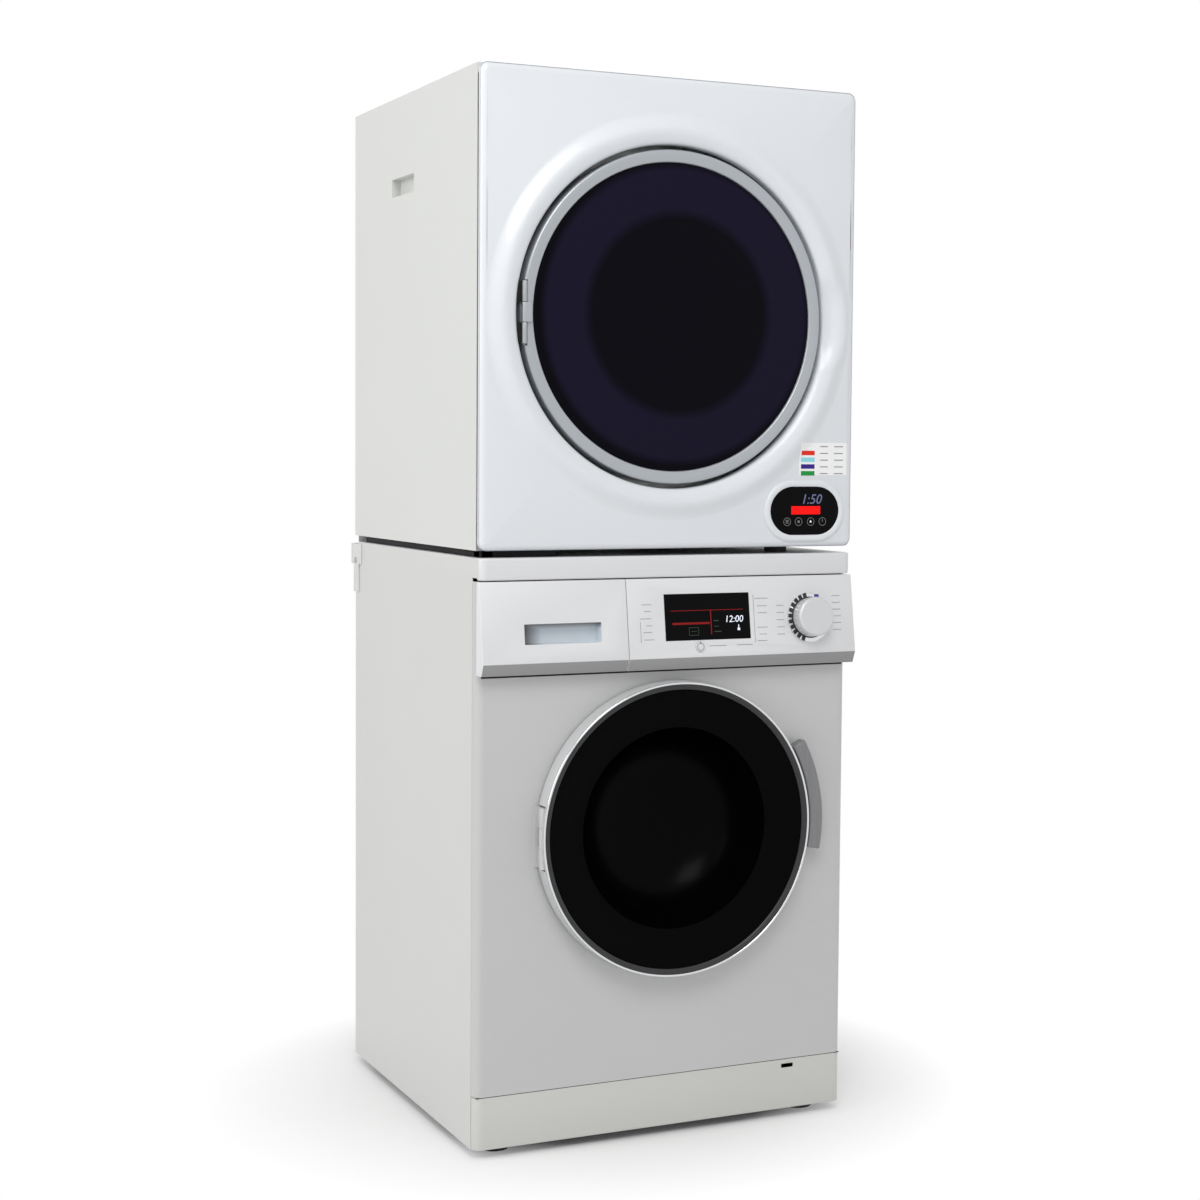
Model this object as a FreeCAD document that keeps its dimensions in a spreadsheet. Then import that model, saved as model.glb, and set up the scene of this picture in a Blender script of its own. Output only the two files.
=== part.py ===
"""Washer with a dryer stacked on it: two front-loading cabinets, their doors, drums and drives.

X runs to the right, Y from the front to the back, Z up from the floor.  Pieces are laid out from
the plane of the washer's front panel, and one shift along Y centres the whole stack.
"""
import FreeCAD, Part
import math
import os
import re
import Sketcher

Vector = FreeCAD.Vector
doc = FreeCAD.newDocument("WasherDryerStack")

SIZES = {
    # both cabinets
    "width": 597, "sheet": 1.2, "corner": 12, "wrap": 14, "hairline": 1, "running": 0.05,
    "slack": 0.3, "plastic": 2.5, "screw_radius": 3,
    # washer cabinet
    "washer_tall": 851, "washer_deep": 540, "foot_tall": 12, "foot_radius": 22,
    "foot_inset": 48, "worktop_thick": 28, "worktop_skin": 8, "lip": 12, "kick_top": 88,
    "tray_tall": 40, "seam": 5, "service_half": 190, "service_low": 150, "service_drop": 161,
    "cover_lap": 12, "coin_left": 196, "coin_wide": 20, "coin_low": 75, "coin_tall": 6,
    # washer fascia
    "fascia_tall": 114, "fascia_lean": 11, "ledge_reach": 27, "chamfer_tall": 17,
    "chamfer_reach": 20, "split_at": -75, "display_left": -15.5, "display_right": 122.7,
    "display_drop": 89.5, "display_top_drop": 23, "start_at": 38.6, "start_drop": 99,
    "start_radius": 7, "start_travel": 1.5, "knob_at": 222, "knob_drop": 62, "knob_radius": 29,
    "knob_reach": 26, "knob_edge": 4, "knob_ring_radius": 36.5, "knob_ring_reach": 4,
    "encoder_radius": 9, "knob_shaft": 3,
    # detergent drawer
    "pocket_left": -234, "pocket_right": -116, "pocket_drop": 88, "pocket_top_drop": 60,
    "tray_left": -280, "tray_right": -92, "tray_drop": 84, "tray_top_drop": 18,
    "tray_deep": 232, "tray_wall": 2, "housing_gap": 4, "housing_drop": 98,
    # washer door
    "axis_x": 6, "axis_up": 455, "door_radius": 214.5, "door_proud": 32, "door_gap": 3,
    "trim_edge": 5.5, "trim_wide": 11.5, "bowl_inset": 67.5, "bowl_deep": 95,
    "bowl_taper": 25, "glass_thick": 5, "mouth_inset": 42.5, "hinge_inset": 6.5, "hinge_y": -18,
    "hinge_half": 46, "hinge_knuckle": 7, "dryer_knuckle": 5, "pin_radius": 3, "hinge_finger": 14,
    "handle_gap": 4.5, "handle_span": 25.5,
    "handle_front": -27, "handle_back": -9, "handle_low": -11,
    "handle_high": 30, "hook_inset": 24.5, "hook_wide": 8, "hook_deep": 30, "lock_wide": 44,
    "lock_tall": 66, "lock_back": 40,
    # tub and drum
    "tub_radius": 250, "tub_front": 74, "tub_split": 250, "tub_back": 430, "tub_wall": 3,
    "neck_radius": 166, "neck_front": 62, "drum_radius": 235, "drum_front": 92, "drum_back": 404,
    "drum_mouth": 158, "drum_sheet": 1, "paddle_tall": 45, "paddle_foot": 36, "paddle_tip": 12,
    "spider_thick": 14, "spider_arm": 34, "shaft_radius": 15, "boss_radius": 44,
    "boss_back": 456, "bearing_radius": 31, "bearing_thick": 16, "pulley_radius": 140,
    "pulley_front": 464, "pulley_wide": 18, "float_half": 8, "weight_inner": 178,
    "weight_outer": 242, "weight_thick": 26, "weight_half_gap": 8,
    # washer drive, springs, dampers, drain
    "motor_x": 90, "motor_up": 125, "motor_radius": 60, "motor_front": 262, "motor_back": 448,
    "spindle_radius": 6, "drive_radius": 11, "belt_thick": 3, "belt_wide": 12,
    "spring_x": 270, "spring_y": 272, "spring_radius": 11, "spring_wire": 3, "spring_low": 512,
    "spring_drop": 42, "damper_x": 150, "damper_y": 200, "damper_radius": 14, "rod_radius": 6,
    "damper_top": 150, "lug_low": 232, "sump_y": 105, "sump_pipe": 20, "hose_low": 96,
    "hose_high": 196, "filter_x": 170, "filter_up": 52, "filter_radius": 30, "filter_deep": 60,
    "pump_deep": 112, "valve_x": -240, "valve_drop": 42, "valve_pitch": 42, "thread_radius": 13.2,
    "thread_reach": 14, "spigot_x": -150, "spigot_drop": 178, "spigot_radius": 10, "spigot_reach": 26,
    "gland_radius": 9, "gland_reach": 12,
    # dryer cabinet
    "stack_gap": 10, "dryer_tall": 681, "dryer_deep": 555, "dryer_foot": 16, "lid_thick": 14,
    "dryer_axis_up": 341, "dryer_ring": 238, "dryer_rim": 18, "dryer_gap": 7, "crest_out": 26,
    "bulge_out": 47, "bulge_proud": 9, "dryer_ring_thick": 26, "dryer_mouth": 205,
    "liner_inset": 24, "liner_deep": 58, "recess_half": 111, "grip_front": 262,
    "grip_back": 362, "grip_low": 523, "grip_tall": 27, "grip_deep": 14,
    "panel_x": 216, "panel_up": 53, "panel_wide": 115, "panel_tall": 71, "bezel_rim": 10,
    "panel_thick": 4,
    # dryer drum and drive
    "tumbler_radius": 262, "tumbler_front": 66, "tumbler_back": 440, "tumbler_lip": 236,
    "collar_radius": 233, "bulkhead_front": 46, "bulkhead_back": 452, "lifter_tall": 50,
    "filter_dial": 62, "fan_x": 200, "fan_up": 74, "fan_radius": 50, "fan_front": 64,
    "fan_wide": 44, "dryer_motor_front": 130, "dryer_motor_back": 280,
    "dryer_motor_radius": 44, "dryer_belt_at": 296, "dryer_drive": 9, "exhaust_radius": 50,
    "exhaust_reach": 45,
    # stacking kit
    "strap_front": 509, "strap_back": 556, "strap_thick": 2.5, "strap_drop": 81,
    "strap_step": 36, "strap_lap": 3, "strap_rise": 59,
}


def fill_sheet():
    cells = doc.addObject("Spreadsheet::Sheet", "Sizes")
    for row, (name, value) in enumerate(SIZES.items(), 1):
        cells.set(f"A{row}", name)
        cells.set(f"B{row}", str(value))
        cells.setAlias(f"B{row}", name)
    doc.recompute()
    return cells


sheet = fill_sheet()

# Places that several pieces share, written as formulas of the sheet's cells.
HALF = "(width / 2)"
WORKTOP_LOW = "(washer_tall - worktop_thick)"
FASCIA_TOP = f"({WORKTOP_LOW} - seam)"
LEDGE = f"({FASCIA_TOP} - fascia_tall)"
FASCIA_LOW = f"({LEDGE} - chamfer_tall)"
SLOPE = "((ledge_reach - fascia_lean) / fascia_tall)"
LEAN_COS = f"(1 / sqrt(1 + {SLOPE}^2))"
LEAN_SIN = f"({SLOPE} * {LEAN_COS})"
DRYER_LOW = "(washer_tall + stack_gap)"
DRYER_TOP = "(washer_tall + dryer_tall)"
DRYER_FACE = "(-lip)"
DRYER_BACK = "(dryer_deep - lip)"
DRYER_AXIS = "(washer_tall + dryer_axis_up)"
DRYER_HINGE = "(hairline * 4 - dryer_ring)"
DRYER_HINGE_Y = f"({DRYER_FACE} - 3)"

DISPLAY_LOW = f"({FASCIA_TOP} - display_drop)"
DISPLAY_HIGH = f"({FASCIA_TOP} - display_top_drop)"
START_UP = f"({FASCIA_TOP} - start_drop)"
KNOB_UP = f"({FASCIA_TOP} - knob_drop)"
POCKET_LOW = f"({FASCIA_TOP} - pocket_drop)"
POCKET_HIGH = f"({FASCIA_TOP} - pocket_top_drop)"
TRAY_LOW = f"({FASCIA_TOP} - tray_drop)"
TRAY_HIGH = f"({FASCIA_TOP} - tray_top_drop)"
HOUSING_LOW = f"({FASCIA_TOP} - housing_drop)"
SPRING_HIGH = f"({FASCIA_TOP} - spring_drop)"
VALVE_UP = f"({FASCIA_TOP} - valve_drop)"
SPIGOT_UP = f"({FASCIA_TOP} - spigot_drop)"
SERVICE_HIGH = "(washer_tall - service_drop)"
STRAP_LOW = "(washer_tall - strap_drop)"
STRAP_MID = "(washer_tall - strap_step)"
STRAP_HIGH = "(washer_tall - strap_lap)"
STRAP_TONGUE = "(washer_tall + strap_rise)"
BEZEL_RADIUS = "(door_radius - trim_edge)"
GLASS_RADIUS = "(door_radius - trim_wide)"
HANDLE_INNER = "(door_radius + handle_gap)"
HANDLE_OUTER = "(door_radius + handle_span)"
HOOK_RADIUS = "(door_radius - hook_inset)"
HINGE_X = "(axis_x - door_radius + hinge_inset)"
DRYER_GLASS = "(dryer_ring - dryer_rim)"
CREST = "(dryer_ring + crest_out)"
BULGE = "(dryer_ring + bulge_out)"
LINER_RADIUS = f"({DRYER_GLASS} - liner_inset)"
MOUTH_RADIUS = "(door_radius - mouth_inset)"
BOWL_RADIUS = "(door_radius - bowl_inset)"
BOWL_END = f"({BOWL_RADIUS} - bowl_taper)"

def fascia_y(up):
    return f"(-fascia_lean - ({FASCIA_TOP} - ({up})) * {SLOPE})"


KNOB_FRONT = (f"(-({fascia_y(KNOB_UP)}) + (knob_reach - knob_edge) * {LEAN_COS}"
              f" + (knob_radius - knob_edge) * {LEAN_SIN} + knob_edge)")
CENTRING = f"(({KNOB_FRONT} - {DRYER_BACK} - exhaust_reach) / 2)"

parts = []
placed = {}


def bound(formula):
    """Name the sheet in front of each of its cells."""
    return re.sub(r"[a-z_]+", lambda found: "Sizes." + found[0] if found[0] in SIZES else found[0],
                  str(formula))


def value(formula):
    return float(sheet.evalExpression(bound(formula)))


def bind(item, **sizes):
    for prop, formula in sizes.items():
        item.setExpression(prop, bound(formula))
    return item


def place(item, x=0, y=0, z=0, axis=None, angle=0):
    """Put an item at x, y, z, turned about an axis by an angle in degrees."""
    placed[item.Name] = y
    if axis:
        item.Placement = FreeCAD.Placement(Vector(), FreeCAD.Rotation(Vector(*axis), value(angle)))
        item.setExpression("Placement.Rotation.Angle", bound(angle))
    for letter, at in zip("xyz", (x, y, z)):
        item.setExpression("Placement.Base." + letter, bound(at))
    return item


def sub_part(name, item):
    """Name a finished piece and add the shift that centres the stack."""
    item.Label = name
    item.setExpression("Placement.Base.y", bound(f"{placed.get(item.Name, 0)} + {CENTRING}"))
    parts.append(item)
    return item


def box(x, y, z):
    """A block between the low and high end of each axis."""
    item = doc.addObject("Part::Box", "block")
    for side, (low, high) in zip(("Length", "Width", "Height"), (x, y, z)):
        item.setExpression(side, bound(f"({high}) - ({low})"))
    return place(item, x[0], y[0], z[0])


def across(half):
    return (f"-({half})", half)


def rod(axis, x, y, z, radius, length):
    """A round bar that starts at x, y, z and runs along an axis."""
    item = bind(doc.addObject("Part::Cylinder", "bar"), Radius=radius, Height=length)
    turn = {"X": ((0, 1, 0), 90), "Y": ((1, 0, 0), -90), "Z": (None, 0)}[axis]
    return place(item, x, y, z, *turn)


def fascia_rod(x, up, radius, low, high):
    """A round bar square to the leaning fascia, from low to high in front of it."""
    item = bind(doc.addObject("Part::Cylinder", "bar"), Radius=radius, Height=f"({high}) - ({low})")
    return on_fascia(item, x, up, low)


def on_fascia(item, x, up, out=0):
    """Stand an item on the fascia with its Z square to the surface."""
    return place(item, x, f"{fascia_y(up)} - ({out}) * {LEAN_COS}", f"({up}) + ({out}) * {LEAN_SIN}",
                 (1, 0, 0), f"90 - atan({SLOPE}) / 1 deg")


def fuse(*pieces):
    item = doc.addObject("Part::MultiFuse", "joined")
    item.Shapes = list(pieces)
    return item


def group(*pieces):
    item = doc.addObject("Part::Compound", "set")
    item.Links = list(pieces)
    return item


def cut(base, *tools):
    item = doc.addObject("Part::Cut", "cut")
    item.Base = base
    item.Tool = tools[0] if len(tools) == 1 else group(*tools)
    return item


def common(*pieces):
    item = doc.addObject("Part::MultiCommon", "shared")
    item.Shapes = list(pieces)
    return item


def new_sketch(owner, plane):
    drawing = owner.newObject("Sketcher::SketchObject", "outline")
    flat = [item for item in owner.Origin.OriginFeatures if item.Role == plane][0]
    drawing.AttachmentSupport = (flat, "")
    drawing.MapMode = "FlatFace"
    return drawing


def fix(drawing, kind, element, point, formula):
    """Hold one point of the sketch at a formula's distance from the origin."""
    row = drawing.addConstraint(Sketcher.Constraint(kind, -1, 1, element, point, value(formula)))
    drawing.setExpression(f"Constraints[{row}]", bound(formula))


def draw(drawing, corners):
    """Draw a closed outline.  A corner is (across, up), or (across, up, radius) where an arc
    runs to the next corner, to the left for a positive radius and to the right for a negative."""
    points = [Vector(value(corner[0]), value(corner[1]), 0) for corner in corners]
    ends = []
    first = drawing.GeometryCount
    for index, corner in enumerate(corners):
        start, end = points[index], points[(index + 1) % len(points)]
        if len(corner) == 2:
            drawing.addGeometry(Part.LineSegment(start, end), False)
            ends.append((1, 2))
            continue
        radius = value(corner[2])
        chord = end - start
        rise = math.sqrt(max(radius ** 2 - (chord.Length / 2) ** 2, 0))
        left = Vector(-chord.y, chord.x, 0).normalize()
        centre = (start + end) * 0.5 + left * math.copysign(rise, radius)
        angles = [math.atan2(p.y - centre.y, p.x - centre.x) for p in (start, end)]
        if radius < 0:
            angles.reverse()
        ring = Part.Circle(centre, Vector(0, 0, 1), abs(radius))
        drawing.addGeometry(Part.ArcOfCircle(ring, *angles), False)
        row = drawing.addConstraint(Sketcher.Constraint("Radius", first + index, abs(radius)))
        drawing.setExpression(f"Constraints[{row}]", bound(f"abs({corner[2]})"))
        ends.append((1, 2) if radius > 0 else (2, 1))
    for index in range(len(corners)):
        after = (index + 1) % len(corners)
        drawing.addConstraint(Sketcher.Constraint("Coincident", first + index, ends[index][1],
                                                  first + after, ends[after][0]))
        fix(drawing, "DistanceX", first + index, ends[index][0], corners[index][0])
        fix(drawing, "DistanceY", first + index, ends[index][0], corners[index][1])


def turned(axis, corners, x=0, y=0, z=0):
    """A turned piece: corners are (radius, place along the axis)."""
    owner = doc.addObject("PartDesign::Body", "turned")
    drawing = new_sketch(owner, "XZ_Plane" if axis == "Z" else "XY_Plane")
    draw(drawing, corners)
    spin = owner.newObject("PartDesign::Revolution", "spin")
    spin.Profile = drawing
    spin.ReferenceAxis = (drawing, ["V_Axis"])
    spin.Angle = 360
    return place(owner, x, y, z)


def prism(plane, corners, low, high):
    """A piece of one section between two places along the plane's normal."""
    owner = doc.addObject("PartDesign::Body", "prism")
    drawing = new_sketch(owner, plane + "_Plane")
    draw(drawing, corners)
    pad = owner.newObject("PartDesign::Pad", "pad")
    pad.Profile = drawing
    bind(pad, Length=f"({high}) - ({low})")
    at = {"XY": (0, 0, low), "YZ": (low, 0, 0), "XZ": (0, high, 0)}[plane]
    return place(owner, *at)


def ring(outer, inner, low, high, x=0, z=0, axis="Y"):
    corners = [(inner, low), (outer, low), (outer, high), (inner, high)]
    return turned(axis, corners, x, 0, z)


def wrapped(face, thick, low, high, half=HALF):
    """A front panel folded round both vertical corners of a cabinet, its face at y = face."""
    inner = f"corner - ({thick})"
    outline = [
        (f"-{half}", f"{face} + wrap"), (f"-{half}", f"{face} + corner", "corner"),
        (f"-{half} + corner", face), (f"{half} - corner", face, "corner"),
        (half, f"{face} + corner"), (half, f"{face} + wrap"),
        (f"{half} - ({thick})", f"{face} + wrap"),
        (f"{half} - ({thick})", f"{face} + corner", f"-({inner})"),
        (f"{half} - corner", f"{face} + ({thick})"),
        (f"-{half} + corner", f"{face} + ({thick})", f"-({inner})"),
        (f"-{half} + ({thick})", f"{face} + corner"), (f"-{half} + ({thick})", f"{face} + wrap"),
    ]
    return prism("XY", outline, low, high)


def rounded(face, back, low, high, half=HALF):
    """A slab with its front two corners rounded."""
    outline = [
        (f"-{half}", back), (f"-{half}", f"{face} + corner", "corner"),
        (f"-{half} + corner", face), (f"{half} - corner", face, "corner"),
        (half, f"{face} + corner"), (half, back),
    ]
    return prism("XY", outline, low, high)


def loop(owner, x, z, big, drive_x, drive_z, small):
    """A sketch of a belt's line round a big pulley at x, z and a small one below it."""
    drawing = new_sketch(owner, "XZ_Plane")
    centres = [Vector(value(x), value(z), 0), Vector(value(drive_x), value(drive_z), 0)]
    radii = [value(big), value(small)]
    span = centres[1] - centres[0]
    heading = math.atan2(span.y, span.x)
    spread = math.acos((radii[0] - radii[1]) / span.Length)
    sides = (heading + spread, heading - spread)
    touch = [[c + Vector(math.cos(a), math.sin(a), 0) * r for a in sides]
             for c, r in zip(centres, radii)]
    up = Vector(0, 0, 1)
    drawing.addGeometry(Part.ArcOfCircle(Part.Circle(centres[0], up, radii[0]), sides[0],
                                         sides[1] + 2 * math.pi), False)
    drawing.addGeometry(Part.LineSegment(touch[0][1], touch[1][1]), False)
    drawing.addGeometry(Part.ArcOfCircle(Part.Circle(centres[1], up, radii[1]), sides[1],
                                         sides[0]), False)
    drawing.addGeometry(Part.LineSegment(touch[1][0], touch[0][0]), False)
    for one, end, two, start in ((0, 2, 1, 1), (1, 2, 2, 1), (2, 2, 3, 1), (3, 2, 0, 1)):
        drawing.addConstraint(Sketcher.Constraint("Tangent", one, end, two, start))
    for arc, formulas in ((0, (x, z, big)), (2, (drive_x, drive_z, small))):
        fix(drawing, "DistanceX", arc, 3, formulas[0])
        fix(drawing, "DistanceY", arc, 3, formulas[1])
        row = drawing.addConstraint(Sketcher.Constraint("Radius", arc, value(formulas[2])))
        drawing.setExpression(f"Constraints[{row}]", bound(formulas[2]))
    return drawing


def belt(name, x, z, big, drive_x, drive_z, small, low):
    """A flat belt: the outer loop less the inner one."""
    rims = []
    for extra in ("slack + belt_thick", "slack"):
        owner = doc.addObject("PartDesign::Body", "loop")
        drawing = loop(owner, x, z, f"{big} + {extra}", drive_x, drive_z, f"{small} + {extra}")
        pad = owner.newObject("PartDesign::Pad", "pad")
        pad.Profile = drawing
        bind(pad, Length="belt_wide")
        rims.append(place(owner, 0, f"{low} + belt_wide", 0))
    return sub_part(name, cut(*rims))


# ---------------------------------------------------------------- washer cabinet
def gland(back, up):
    """The bush that a supply lead leaves a back panel by."""
    return ring("gland_radius", "gland_radius / 2", back, f"{back} + gland_reach",
                "-service_half + gland_radius", up)


def washer_cabinet():
    corners = [(x, y) for x in (f"-{HALF} + foot_inset", f"{HALF} - foot_inset")
               for y in ("foot_inset", "washer_deep - foot_inset")]
    profile = [("0", "0"), ("foot_radius", "0"), ("foot_radius", "foot_tall"),
               ("0", "foot_tall")]
    sub_part("washer_feet", group(*[turned("Z", profile, x, y) for x, y in corners]))

    inside = f"{HALF} - sheet"
    tray_top = "foot_tall + tray_tall"
    tray = cut(box(across(f"{inside} - hairline"), ("wrap + hairline", "washer_deep - sheet"),
                   ("foot_tall", tray_top)),
               box(across(f"{inside} - hairline - sheet"),
                   ("wrap + hairline - sheet", "washer_deep - sheet * 2"),
                   ("foot_tall + sheet", f"{tray_top} + sheet")))
    sub_part("washer_base_tray", tray)

    wrap_box = box(across(HALF), ("wrap + hairline", "washer_deep"), ("foot_tall", WORKTOP_LOW))
    inner = box(across(inside), ("0", "washer_deep - sheet"), ("0", "washer_tall"))
    service = box(across("service_half"), ("washer_deep - sheet * 2", "washer_deep + sheet"),
                  ("service_low", SERVICE_HIGH))
    hangers = [box((low, high), ("spring_y - spring_wire", "spring_y + spring_wire"),
                   (f"{SPRING_HIGH} + slack", f"{SPRING_HIGH} + sheet * 3"))
               for low, high in ((f"-{HALF}", "-spring_x + spring_radius"),
                                 ("spring_x - spring_radius", HALF))]
    ports = [rod("Y", f"valve_x + valve_pitch * {step}", "washer_deep - wrap", VALVE_UP,
                 "thread_radius + slack", "wrap * 2") for step in range(2)]
    sub_part("washer_cabinet", fuse(cut(wrap_box, inner, service, *ports), *hangers))

    lap = "cover_lap"
    cover = box(across(f"service_half + {lap}"), ("washer_deep", "washer_deep + sheet"),
                (f"service_low - {lap}", f"{SERVICE_HIGH} + {lap}"))
    hood = ring("pulley_radius + lip", "0", "washer_deep", "washer_deep + lip", "axis_x", "axis_up")
    hollow = ring("pulley_radius + lip - sheet", "0", "washer_deep - sheet",
                  "washer_deep + lip - sheet", "axis_x", "axis_up")
    spigot = ring("spigot_radius", "spigot_radius - plastic", "washer_deep + sheet",
                  "washer_deep + sheet + spigot_reach", "spigot_x", SPIGOT_UP)
    sub_part("washer_rear_cover", fuse(cut(fuse(cover, hood), hollow), spigot,
                                       gland("washer_deep + sheet", "service_low + lip")))

    panel = wrapped("0", "sheet", "kick_top + hairline", FASCIA_TOP)
    mouth = rod("Y", "axis_x", "-wrap", "axis_up", MOUTH_RADIUS, "wrap * 2")
    bay = box(("tray_left - housing_gap", "tray_right + housing_gap"), ("-wrap", "wrap"),
              (f"{HOUSING_LOW} + tray_wall", f"{TRAY_HIGH} + housing_gap"))
    slot_x = f"axis_x + {HOOK_RADIUS}"
    slot = box((f"{slot_x} - hook_wide", f"{slot_x} + hook_wide * 2.5"), ("-wrap", "wrap"),
               ("axis_up + hook_deep / 2", "axis_up + hook_deep * 1.7"))
    button = fascia_rod("start_at", START_UP, "start_radius + hairline", "-wrap * 3", "wrap")
    stem = fascia_rod("knob_at", KNOB_UP, "encoder_radius + hairline", "-wrap * 3", "wrap")
    sub_part("washer_front_panel", cut(panel, mouth, bay, slot, button, stem))

    kick = wrapped("0", "plastic", "foot_tall + hairline", "kick_top")
    coin = box(("coin_left", "coin_left + coin_wide"), ("-wrap", "wrap"),
               ("coin_low", "coin_low + coin_tall"))
    sub_part("kick_plate", cut(kick, coin))

    top = rounded(DRYER_FACE, "washer_deep + sheet", WORKTOP_LOW, "washer_tall")
    under = box(across(f"{HALF} - corner"), ("lip", "washer_deep - lip"),
                (f"{WORKTOP_LOW} - hairline", "washer_tall - worktop_skin"))
    sub_part("washer_worktop", cut(top, under))


def fascia_section(inset):
    """Side view of the fascia moulding, or of the hollow inside it."""
    back = f"({inset}) / plastic * hairline"
    return [
        (f"{back}", f"{FASCIA_TOP} - ({inset})"),
        (f"-fascia_lean + ({inset})", f"{FASCIA_TOP} - ({inset})"),
        (f"-ledge_reach + ({inset})", LEDGE),
        (f"-chamfer_reach + ({inset})", f"{FASCIA_LOW} + ({inset})"),
        (f"{back}", f"{FASCIA_LOW} + ({inset})"),
    ]


def fascia_shell(low, high):
    outer = prism("YZ", fascia_section("0"), low, high)
    return cut(outer, prism("YZ", fascia_section("plastic"), f"{low} + plastic",
                            f"{high} - plastic"))


def leaning(left, right, low, high, front, back):
    """A plate that lies in the fascia, from front to back of its surface."""
    section = [(f"{fascia_y(low)} - ({front})", low), (f"{fascia_y(low)} - ({back})", low),
               (f"{fascia_y(high)} - ({back})", high), (f"{fascia_y(high)} - ({front})", high)]
    return prism("YZ", section, left, right)


def washer_controls():
    shell = fascia_shell("split_at + hairline", HALF)
    window = leaning("display_left - slack", "display_right + slack", f"{DISPLAY_LOW} - slack",
                     f"{DISPLAY_HIGH} + slack", "wrap", "-plastic * 2")
    start_hole = fascia_rod("start_at", START_UP, "start_radius + slack", "-plastic * 2", "wrap")
    knob_hole = fascia_rod("knob_at", KNOB_UP, "encoder_radius", "-plastic * 2", "wrap")
    sub_part("control_panel", cut(shell, window, start_hole, knob_hole))
    sub_part("display_window", leaning("display_left", "display_right", DISPLAY_LOW,
                                       DISPLAY_HIGH, "slack", "-plastic"))

    cap = fascia_rod("start_at", START_UP, "start_radius", "-plastic * 3",
                     "start_travel + hairline")
    sub_part("start_button", cap)

    trim = turned("Z", [
        ("knob_shaft + running", "-wrap"), ("encoder_radius - slack", "-wrap"),
        ("encoder_radius - slack", "0"), ("knob_ring_radius", "0"),
        ("knob_ring_radius", "knob_ring_reach - hairline"),
        ("knob_ring_radius - hairline", "knob_ring_reach"),
        ("knob_radius + hairline", "knob_ring_reach"), ("knob_radius + hairline", "hairline"),
        ("knob_shaft + running", "hairline")])
    sub_part("knob_ring", on_fascia(trim, "knob_at", KNOB_UP))

    knob = turned("Z", [("0", "-wrap"), ("knob_shaft", "-wrap"), ("knob_shaft", "plastic"),
                        ("knob_radius", "plastic"),
                        ("knob_radius", "knob_reach - knob_edge", "knob_edge"),
                        ("knob_radius - knob_edge", "knob_reach"), ("0", "knob_reach")])
    sub_part("program_knob", on_fascia(knob, "knob_at", KNOB_UP))


def detergent_drawer():
    front = fascia_shell(f"-{HALF}", "split_at")
    mould = common(box(("pocket_left - plastic", "pocket_right + plastic"),
                       ("-ledge_reach", "hairline"),
                       (f"{POCKET_LOW} - plastic", f"{POCKET_HIGH} + plastic")),
                   prism("YZ", fascia_section("0"), f"-{HALF}", "split_at"))
    hollow = box(("pocket_left", "pocket_right"), ("-ledge_reach * 2", "-hairline"),
                 (POCKET_LOW, POCKET_HIGH))
    sub_part("drawer_front", cut(fuse(front, mould), hollow))

    tray = box(("tray_left", "tray_right"), ("hairline", "hairline + tray_deep"),
               (TRAY_LOW, TRAY_HIGH))
    span = "(tray_right - tray_left - tray_wall * 4) / 3"
    cells = []
    for index in range(3):
        left = f"tray_left + tray_wall + ({span} + tray_wall) * {index}"
        cells.append(box((left, f"{left} + {span}"),
                         ("hairline + tray_wall", "hairline + tray_deep - tray_wall"),
                         (f"{TRAY_LOW} + tray_wall", f"{TRAY_HIGH} + tray_wall")))
    sub_part("detergent_drawer", cut(tray, *cells))

    gap = "housing_gap"
    shell = box((f"tray_left - {gap} - tray_wall", f"tray_right + {gap} + tray_wall"),
                ("sheet + slack", f"tray_deep + {gap} + tray_wall * 2"),
                (HOUSING_LOW, f"{TRAY_HIGH} + {gap} + tray_wall"))
    room = box((f"tray_left - {gap}", f"tray_right + {gap}"), ("0", f"tray_deep + {gap}"),
               (f"{HOUSING_LOW} + tray_wall", f"{TRAY_HIGH} + {gap}"))
    sub_part("drawer_housing", cut(shell, room))


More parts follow.
